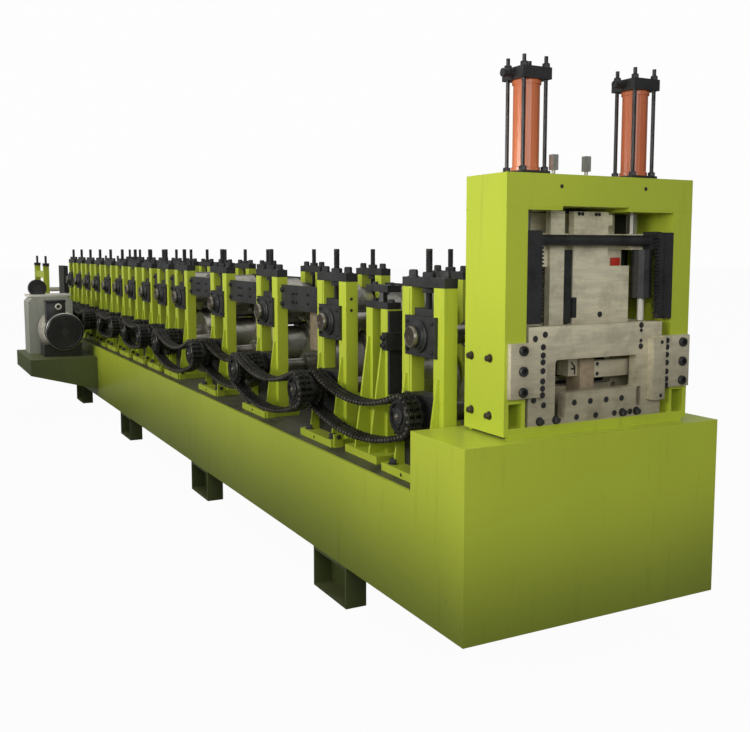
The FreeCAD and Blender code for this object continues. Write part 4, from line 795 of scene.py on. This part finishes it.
# %% Motor chain
MOTOR_SHAFT = -6.400
DRIVEN = STATIONS[9]
NARROW = 0.034 / 0.060
motor_chain = Shape()
lay_chain(motor_chain, MOTOR_SHAFT, DRIVEN, MOTOR_LANE, LOWER_AXIS, NARROW)
motor_chain.finish("motor_drive_chain", CHAIN_STEEL, "chain_steel", ["motor_chain"])
pins.finish("chain_pins", PIN_STEEL, "chain_steel")
motor_wheels = Shape()
for x, start, stop in ((DRIVEN, MOTOR_LANE, -0.044), (MOTOR_SHAFT, -0.105, MOTOR_LANE)):
    for offset in (-0.008, 0.008):
        motor_wheels.stamp(row, at(x, MOTOR_LANE + offset, LOWER_AXIS) @ Matrix.Diagonal((1, 0.6, 1, 1)))
    hub_start, hub_stop = min(start, -0.080), max(stop, -0.050)
    motor_wheels.turned([
        (hub_start, 0), (hub_start, 0.046), (-0.075, 0.060), (-0.056, 0.060), (hub_stop, 0.046),
        (hub_stop, 0),
    ], 28, at(x, 0, LOWER_AXIS, "far"))
motor_wheels.finish("motor_drive_wheels", CHAIN_STEEL, "chain_steel", ["motor_sprockets"])

# %% [markdown]
# ## Between the stands
# Dark plates tie five pairs of neighbours together, bolted at each end, with folded brown guards behind
# them where the stands are wide apart. The frame has the plates. The guards are thin sheet, so each is a
# standing and a lying box.

# %% Tie plates and guards
POST_EDGE = 0.147
WIDE = 0.3
tie_bolts = Shape()
guards = Shape()
for index in range(1, 6):
    start = STATIONS[index + 1] + POST_EDGE
    stop = STATIONS[index] - POST_EDGE
    for y, side in AXES:
        face = y + side * 0.006
        way = outward(side)
        for x in (start + 0.022, stop - 0.022):
            for z in (BED_TOP + 0.562, BED_TOP + 0.630):
                tie_bolts.stamp(MIDDLE_SOCKET, at(x, face, z, way))
        if stop - start > WIDE:
            for x in (start + 0.15, start + 0.19, stop - 0.15):
                for z in (BED_TOP + 0.575, BED_TOP + 0.617):
                    tie_bolts.stamp(SMALL_SOCKET, at(x, face, z, way))
    if stop - start > WIDE:
        guards.box((start + 0.03, stop - 0.16), (0.300, 0.306), (BED_TOP + 0.33, BED_TOP + 0.60))
        guards.box((start + 0.03, stop - 0.16), (0.306, 0.420), (BED_TOP + 0.594, BED_TOP + 0.600))
tie_bolts.finish("tie_bolts", BLACK_OXIDE, "black_oxide")
guards.finish("guards", GUARD_BROWN, "tool_steel")

# %% [markdown]
# ## Side roll stand
# Between the two stands nearest the exit, two standing rolls press the strip from the sides. Each post
# has a blackened bar, a clamp block with two screws, and bolts on its top. They are milled blocks, so
# plain boxes do.

# %% Side roll stand fittings
side_parts = Shape()
STAND_EXIT = -0.7925
for side, near_face in ((-1, 0.158), (1, 0.754)):
    low, high = sorted((near_face - side * 0.001, near_face - side * 0.058))
    side_parts.box((STAND_EXIT, STAND_EXIT + 0.014), (low, high), (0.690, 1.014))
    clamp_face = near_face + side * 0.034
    low, high = sorted((clamp_face, near_face - side * 0.050))
    side_parts.box((STAND_EXIT + 0.0142, STAND_EXIT + 0.052), (low, high), (0.866, 0.934))
    for z in (0.915, 0.885):
        side_parts.stamp(MIDDLE_SOCKET, at(STAND_EXIT + 0.033, clamp_face, z, outward(side)))
    bolt_line = near_face - side * 0.030
    for x, z in ((-0.955, 1.046), (-0.812, 1.046), (-0.950, 1.112), (-0.816, 1.112)):
        side_parts.stamp(MIDDLE_BOLT, at(x, bolt_line, z))
side_parts.finish("side_stand_fittings", BLACK_OXIDE, "black_oxide")

# %% [markdown]
# ## Screws of the cutting press
# The press carries most of the small detail at the exit: gib brackets with three large screws and a row
# of small ones each, and a die with two rows of dowels. Their spacing looks a little uneven in the photo,
# so each row has its own list of places.

# %% Press screws
press = Shape()
foot_bolt = hex_bolt(0.0115, 0.016)
GIB_FACE = -0.035
DIE_FACE = -0.0553
RAM_FACE = -0.138


def screw_rows(kind, x, widths, heights):
    """Screws in an exit face, at every pair of a width and a height."""
    for y in widths:
        for z in heights:
            press.stamp(kind, at(x, y, z, "exit"))


screw_rows(LARGE_SOCKET, GIB_FACE - 0.006, [0.242], [0.928, 0.861, 0.793])
screw_rows(LARGE_SOCKET, GIB_FACE - 0.006, [0.938], [0.925, 0.857, 0.789])
screw_rows(MIDDLE_SUNK, GIB_FACE, [0.322], [0.936, 0.909, 0.887, 0.858, 0.824, 0.800, 0.779])
screw_rows(MIDDLE_SUNK, GIB_FACE, [0.866], [0.933, 0.910, 0.883, 0.855, 0.824, 0.797, 0.775])
screw_rows(MIDDLE_SUNK, DIE_FACE, [0.472, 0.541, 0.611, 0.680], [0.740])
screw_rows(MIDDLE_SUNK, DIE_FACE, [0.483, 0.566, 0.649, 0.720], [0.690])
for y, z in ((0.345, 0.974), (0.305, 0.962), (0.302, 0.760), (0.343, 0.741)):
    screw_rows(MIDDLE_SUNK, DIE_FACE, [y], [z])
screw_rows(MIDDLE_SUNK, DIE_FACE, [0.762], [0.990, 0.916])
screw_rows(SMALL_SUNK, DIE_FACE, [0.762], [0.972, 0.936])
screw_rows(SMALL_SUNK, -0.025, [0.832], [0.930, 0.742])
screw_rows(foot_bolt, DIE_FACE, [0.327, 0.394], [0.688])
screw_rows(foot_bolt, DIE_FACE, [0.684, 0.748], [0.690])
screw_rows(SMALL_SUNK, -0.055, [0.401], [1.455])
screw_rows(SMALL_SUNK, -0.055, [0.764], [1.457])
screw_rows(SMALL_SUNK, RAM_FACE, [0.545, 0.560], [1.372])
screw_rows(SMALL_SUNK, RAM_FACE, [0.620, 0.634], [1.371])
screw_rows(MIDDLE_SUNK, RAM_FACE, [0.646], [1.026])
press.finish("press_screws", BLACK_OXIDE, "black_oxide")

# %% [markdown]
# ## Die insert
# In the die's window stand the cutting insert and a ground bar with two screws. They are hardened blocks
# with only their sharp edges broken, which a narrow bevel on a box gives.

# %% Die insert and bar
insert = Shape().box((-0.1845, -0.110), (0.540, 0.602), (0.700, 0.876)).soften(0.0015)
insert.finish("die_insert", INSERT_STEEL, "tool_steel", ["die_inserts"])
bar = Shape().box((-0.135, -0.108), (0.6025, 0.772), (0.810, 0.868)).soften(0.0015)
bar.box((-0.1845, -0.125), (0.500, 0.5395), (0.818, 0.878))
bar.finish("die_bar", TOOL_STEEL, "tool_steel")
bar_screws = Shape()
bar_screws.stamp(SMALL_SUNK, at(-0.108, 0.614, 0.857, "exit"), at(-0.108, 0.614, 0.823, "exit"))
# A thin dark sheet shaped like the profile paints the shade in the opening cut through the small block.
profile_opening_shade = [
    (0.510, 0.868), (0.516, 0.868), (0.532, 0.850), (0.532, 0.824), (0.525, 0.824), (0.525, 0.840),
    (0.512, 0.840), (0.512, 0.846), (0.524, 0.848),
]
bar_screws.prism(profile_opening_shade, "X", -0.1255, -0.1246)
bar_screws.finish("die_bar_screws", BLACK_OXIDE, "black_oxide")

# %% [markdown]
# ## Inside the press window
# Dark guide plates close the window behind the ram, a small bracket and side plates sit beside it, a red
# flag marks its place, and the punch cylinder's rod comes down on the right. The plates are plain boxes,
# each at its own depth, so the window reads as deep.

# %% Guides behind the ram
guides = Shape()
for x, y, z in (
    ((-0.285, -0.279), (0.270, 0.899), (1.010, 1.3785)),
    ((-0.285, -0.279), (0.4085, 0.6925), (1.3787, 1.3925)),
    ((-0.2785, -0.2725), (0.480, 0.899), (0.797, 0.990)),
    ((-0.2785, -0.2725), (0.440, 0.899), (0.690, 0.7805)),
    ((-0.0985, -0.0958), (0.738, 0.772), (0.700, 0.785)),
    ((-0.162, -0.142), (0.486, 0.5215), (1.002, 1.2495)),
    ((-0.150, -0.136), (0.5225, 0.540), (1.018, 1.088)),
    ((-0.200, -0.190), (0.690, 0.800), (1.100, 1.240)),
    ((-0.230, -0.220), (0.270, 0.400), (1.010, 1.240)),
):
    guides.box(x, y, z)
guides.finish("ram_guides", BLACK_OXIDE, "black_oxide")
plates = Shape()
plates.box((-0.160, -0.148), (0.380, 0.421), (1.193, 1.2495))
plates.box((-0.176, -0.168), (0.664, 0.764), (1.192, 1.249))
plates.box((-0.1500, -0.1395), (0.6735, 0.6950), (1.3340, 1.3705))
plates.finish("ram_side_plates", TOOL_STEEL, "tool_steel")
tag = Shape().box((-0.1675, -0.161), (0.712, 0.755), (1.194, 1.223)).soften(0.003)
tag.finish("position_flag", FLAG_RED, "cylinder_paint")
rod_profile = [(0, 0), (0, 0.0118), (0.079, 0.0118), (0.079, 0)]
rod = Shape().turned(rod_profile, 24, at(-0.118, 0.815, 1.001))
rod.finish("punch_rod", PALE_ENAMEL, "roll_steel")

# %% [markdown]
# ## Racks
# A toothed rack on each side of the ram turns the linking shaft, so both sides of the ram come down
# together. A rack is one outline with its row of teeth, pulled to its width.

# %% Racks
TOOTH_PITCH = 0.0126
racks = Shape()
for low, high, inward in ((0.268, 0.333, 1), (0.841, 0.901, -1)):
    racks.box((-0.079, -0.055), (low, high - 0.006 if inward > 0 else high), (1.010, 1.310))
    root = high - 0.0062 if inward > 0 else low + 0.0002
    tip = root + inward * 0.009
    outline = [(root, 1.020)]
    for tooth in range(22):
        z = 1.024 + tooth * TOOTH_PITCH
        outline += [(root, z), (tip, z + 0.0030), (tip, z + 0.0068), (root, z + 0.0098)]
    outline.append((root, 1.302))
    outline += [(root - inward * 0.0040, 1.302), (root - inward * 0.0040, 1.020)]
    racks.prism(outline, "X", -0.077, -0.057)
racks.box((-0.0545, -0.050), (0.862, 0.866), (1.012, 1.308))
racks.finish("finer_racks", BLACK_OXIDE, "black_oxide", ["racks"])

# %% [markdown]
# ## Seams and grooves
# The beam is welded on to the columns, and a bead shows under the paint. The posts of the stands have a
# narrow groove along the edge that guides the block, and the shade in it is painted as a dark line. Both
# are only millimetres wide, so a thin strip makes each.

# %% Weld seams
SEAM = (1.3855, 1.3885)
seams = Shape()
seams.box((-0.285, -0.0545), (0.1830, 0.1845), SEAM)
seams.box((-0.285, -0.0545), (0.9845, 0.9860), SEAM)
seams.box((-0.0555, -0.0540), (0.184, 0.407), SEAM)
seams.box((-0.0555, -0.0540), (0.694, 0.985), SEAM)
seams.finish("weld_seams", GREEN, "green_paint")
# Thin dark strips paint the shade in the posts' guide grooves.
groove_shades = Shape()
for x in STATIONS:
    for y, side in AXES:
        low, high = sorted((y + side * 0.0268, y + side * 0.0276))
        groove_shades.box((x - 0.0925, x - 0.0900), (low, high), (0.470, 1.110))
groove_shades.finish("guide_grooves", SHADED_GREEN, "green_paint")

# %% [markdown]
# ## Shadow under the press and column bolts
# The press stands on thin shims, and the shade in the gap round its foot is painted as a dark line. Four
# bolts with washers go through each column. Four dark strips paint the line, as nothing shows behind them.

# %% Shim shadow strips and column bolts
SHADOW_BAND = (0.6382, 0.6478)
# Four dark strips paint the shadow in the gap round the press foot.
shim_shadow = Shape()
for depth in ((-0.0748, -0.0740), (-0.2660, -0.2652)):
    shim_shadow.box(depth, (0.203, 0.966), SHADOW_BAND)
for width in ((0.2030, 0.2038), (0.9652, 0.9660)):
    shim_shadow.box((-0.2650, -0.0750), width, SHADOW_BAND)
shim_shadow.finish("shim_edges", BLACK_OXIDE, "black_oxide")
side_bolts = Shape()
column_bolt = hex_bolt(0.0115, 0.015)
for x, z in ((-0.245, 0.896), (-0.136, 0.897), (-0.242, 0.712), (-0.137, 0.707)):
    side_bolts.stamp(column_bolt, at(x, 0.184, z, "near"), at(x, 0.985, z, "far"))
side_bolts.finish("column_bolts", FACE_STEEL, "black_oxide")

# %% [markdown]
# ## Hydraulic cylinders
# Each cylinder is a tube between two square flanges, drawn together by four tie rods with nuts, with a
# port at its head and a ring where the tube enters each flange. The frame has tubes, flanges and rods.
# Nuts, ports and rings are spun round, at heights taken from its flanges.

# %% Cylinder fittings
CYLINDER_X = -0.170
CYLINDERS = (0.340, 0.812)
ROD_OFFSET = 0.044
FLANGE = 0.014
fittings = Shape()
tie_nut = Shape().turned([(0, 0), (0, 0.0125), (0.012, 0.0125), (0.014, 0.011), (0.014, 0)], 6)
head_low, head_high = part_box("cylinder_flanges")
head_top = head_high[2] - ORIGIN[2]
foot_low = head_low[2] - ORIGIN[2]
port = [
    (0, 0), (0, 0.016), (0.010, 0.016), (0.010, 0.011), (0.026, 0.011), (0.026, 0.014), (0.040, 0.014),
    (0.040, 0),
]
for y in CYLINDERS:
    for dx in (-ROD_OFFSET, ROD_OFFSET):
        for dy in (-ROD_OFFSET, ROD_OFFSET):
            for z in (head_top, foot_low + FLANGE):
                fittings.stamp(tie_nut, at(CYLINDER_X + dx, y + dy, z))
    fittings.turned(port, 12, at(CYLINDER_X, y - 0.058, head_top - 0.019, "near"))
fittings.finish("cylinder_fittings", BLACK_OXIDE, "black_oxide")
rings = Shape()
ring = [(0, 0.043), (0, 0.048), (0.012, 0.048), (0.014, 0.046), (0.014, 0.043), (0, 0.043)]
for y in CYLINDERS:
    for z in (foot_low + FLANGE, head_top - 0.052):
        rings.turned(ring, 32, at(CYLINDER_X, y, z))
rings.finish("cylinder_rings", CYLINDER_PAINT, "cylinder_paint")

# %% [markdown]
# ## Motor
# The fan cover has a grille of rings, and the body has cooling ribs along its length between two turned
# end shields. Grille and cover are one profile spun round. The ribs are a toothed outline pulled along
# the motor, because each runs its whole length. Both take their place from the frame's plain cylinders.

# %% Motor fan cover and ribs
fan_low, fan_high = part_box("motor_fan_cover")
motor_low, motor_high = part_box("motor_body")
motor_y = (fan_low[1] + fan_high[1]) / 2 - ORIGIN[1]
motor_z = (fan_low[2] + fan_high[2]) / 2 - ORIGIN[2]
fan_start, fan_stop = fan_low[0] - ORIGIN[0], fan_high[0] - ORIGIN[0]
motor_start, motor_stop = motor_low[0] - ORIGIN[0], motor_high[0] - ORIGIN[0]
depth = fan_stop - fan_start
RINGS = 8
RIBS = 44
profile = [(0, 0), (0, 0.156), (depth - 0.020, 0.156), (depth - 0.008, 0.150), (depth, 0.138)]
for number in range(RINGS):
    outer = 0.132 - number * 0.013
    profile += [(depth - 0.001, outer), (depth - 0.008, outer - 0.002)]
    profile += [(depth - 0.008, outer - 0.006), (depth - 0.001, outer - 0.008)]
profile += [(depth - 0.001, 0.020), (depth - 0.001, 0)]
Shape().turned(profile, 48, at(fan_start, motor_y, motor_z, "exit")).finish(
    "fan_cover", MOTOR_BLACK, "motor_black", ["motor_fan_cover"]
)
rim = Shape().turned([
    (depth - 0.014, 0.150), (depth - 0.014, 0.158), (depth - 0.008, 0.158), (depth - 0.004, 0.152),
    (depth - 0.014, 0.150),
], 48, at(fan_start, motor_y, motor_z, "exit"))
rim.finish("fan_rim", ZINC, "zinc")
ribs = Shape()
outline = []
for index in range(RIBS):
    for part, radius in ((-0.28, 0.126), (-0.12, 0.146), (0.12, 0.146), (0.28, 0.126)):
        angle = math.tau * (index + part) / RIBS
        outline.append((motor_y + radius * math.cos(angle), motor_z + radius * math.sin(angle)))
ribs.prism(outline, "X", motor_start + 0.030, motor_stop - 0.018)
drive_shield = [(0, 0), (0, 0.120), (0.020, 0.145), (0.034, 0.145), (0.034, 0)]
fan_shield = [(0, 0), (0, 0.143), (0.020, 0.143), (0.020, 0)]
body_flange = [(0, 0.140), (0, 0.168), (0.016, 0.168), (0.016, 0.140)]
ribs.turned(drive_shield, 36, at(motor_start, motor_y, motor_z, "exit"))
ribs.turned(fan_shield, 36, at(motor_stop - 0.020, motor_y, motor_z, "exit"))
ribs.turned(body_flange, 36, at(motor_start + 0.002, motor_y, motor_z, "exit"))
ribs.finish("motor_ribs", PALE_ENAMEL, "motor_grey", ["motor_body"])

# %% [markdown]
# ## Terminal box
# The box on the motor has a lid a little wider than itself, and a gland on its side. Castings have round
# edges everywhere, so box and lid are bevelled together. A flat plate closes the reducer.

# %% Terminal box and reducer plate
terminal = Shape()
terminal.box((-6.020, -5.900), (-0.370, -0.215), (0.600, 0.800))
terminal.box((-6.024, -5.896), (-0.374, -0.211), (0.8002, 0.824))
terminal.soften(0.006)
terminal.finish("terminal_box", MOTOR_BLACK, "motor_black", ["motor_terminal_box"])
gland = Shape().turned([
    (0, 0.014), (0, 0.028), (0.010, 0.028), (0.014, 0.024), (0.014, 0.016), (0.004, 0.014), (0, 0.014),
], 24, at(-5.900, -0.274, 0.767, "exit"))
gland.finish("cable_gland", PALE_ENAMEL, "zinc")
top_plate = Shape().box((-6.506, -6.212), (-0.468, -0.112), (0.8362, 0.856)).soften(0.003)
top_plate.finish("reducer_plate", PALE_ENAMEL, "motor_grey")

# %% [markdown]
# ## Floor
# The machine stands on a floor about as white as the background. Seen by the camera the floor mostly
# glows. For the light it is a dull grey, so it doesn't brighten the bed from below.

# %% Floor
room = Graph("pale_floor")
matte = room.node("ShaderNodeBsdfDiffuse", sockets={"Color": (0.30, 0.30, 0.29, 1)})
glow = room.node("ShaderNodeEmission", sockets={"Color": (1, 1, 1, 1), "Strength": 1.025})
camera_ray = room.node("ShaderNodeLightPath", output="Is Camera Ray")
floor_shader = room.node("ShaderNodeMixShader", sockets={0: camera_ray * 0.94, 1: matte, 2: glow})
floor_material = room.close(floor_shader)
floor_mesh = bmesh.new()
bmesh.ops.create_grid(floor_mesh, x_segments=1, y_segments=1, size=60)
floor_data = bpy.data.meshes.new("floor")
floor_mesh.to_mesh(floor_data)
floor_mesh.free()
floor_data.materials.append(floor_material)
floor = bpy.data.objects.new("floor", floor_data)
bpy.context.collection.objects.link(floor)
print("floor faces:", len(floor_data.polygons))

# %% [markdown]
# ## World
# The camera sees a plain white background, while a weak bluish light comes from all sides and fills the
# shadows. Mixing two backgrounds by the kind of ray keeps one from spoiling the other.

# %% World
world = bpy.data.worlds.new("studio")
bpy.context.scene.world = world
world.use_nodes = True
tree = world.node_tree
tree.nodes.clear()
path = tree.nodes.new("ShaderNodeLightPath")
soft = tree.nodes.new("ShaderNodeBackground")
soft.inputs["Color"].default_value = (0.93, 0.96, 1.0, 1)
soft.inputs["Strength"].default_value = 0.26
white = tree.nodes.new("ShaderNodeBackground")
white.inputs["Color"].default_value = (0.985, 0.985, 0.985, 1)
chosen = tree.nodes.new("ShaderNodeMixShader")
tree.links.new(path.outputs["Is Camera Ray"], chosen.inputs[0])
tree.links.new(soft.outputs[0], chosen.inputs[1])
tree.links.new(white.outputs[0], chosen.inputs[2])
end = tree.nodes.new("ShaderNodeOutputWorld")
tree.links.new(chosen.outputs[0], end.inputs[0])
print("world nodes:", len(tree.nodes))


# %% [markdown]
# ## Lamps
# One large lamp overhead lights the tops, a long narrow strip lights the chain side, and a panel beyond
# the exit brightens the press. Wide lamps give soft-edged shadows like those in the photo.

# %% Lamps
def lamp(name, spot, target, size, power, tint=(1, 1, 1), spread=180):
    """A rectangular lamp, aimed at a target, with its spread in degrees."""
    data = bpy.data.lights.new(name, "AREA")
    data.shape = "RECTANGLE"
    data.size, data.size_y = size
    data.energy = power
    data.color = tint
    data.spread = math.radians(spread)
    item = bpy.data.objects.new(name, data)
    item.location = spot
    item.rotation_euler = (Vector(target) - Vector(spot)).to_track_quat("-Z", "Y").to_euler()
    item.visible_camera = False
    bpy.context.collection.objects.link(item)
    print(name, power, "W")


lamp("overhead", (0.5, 0.5, 6.5), (0.5, 0.3, 0.0), (12, 6), 170)
lamp("near_strip", (0.8, -2.7, 1.75), (0.8, 0.0, 1.50), (11.5, 0.5), 70, (1.0, 0.99, 0.95), 80)
lamp("exit_panel", (7.6, -1.0, 2.2), (4.7, 0.1, 1.1), (2.5, 1.5), 42)

# %% [markdown]
# ## Camera
# The camera is where the photo was taken from, a little higher than the stands' caps on the chain side.
# Its place, aim, focal length and shift come from fitting the machine's corners to the photo.

# %% Camera
SENSOR = 36
PHOTO_WIDTH = 750
FOCAL_PIXELS = 924.7
lens = bpy.data.cameras.new("camera")
lens.sensor_width = SENSOR
lens.lens = FOCAL_PIXELS / PHOTO_WIDTH * SENSOR
lens.shift_x = -3.7 / PHOTO_WIDTH
lens.shift_y = -21.8 / PHOTO_WIDTH
lens.clip_end = 200
camera = bpy.data.objects.new("camera", lens)
azimuth, pitch = math.radians(152.13), math.radians(5.83)
level = math.cos(pitch)
forward = Vector((math.cos(azimuth) * level, math.sin(azimuth) * level, -math.sin(pitch)))
camera.rotation_euler = forward.to_track_quat("-Z", "Y").to_euler()
camera.location = ORIGIN + Vector((2.3494, -1.5420, 1.2501))
bpy.context.collection.objects.link(camera)
scene = bpy.context.scene
scene.camera = camera
scene.view_settings.view_transform = "Standard"
print("camera at", [round(value, 3) for value in camera.location])
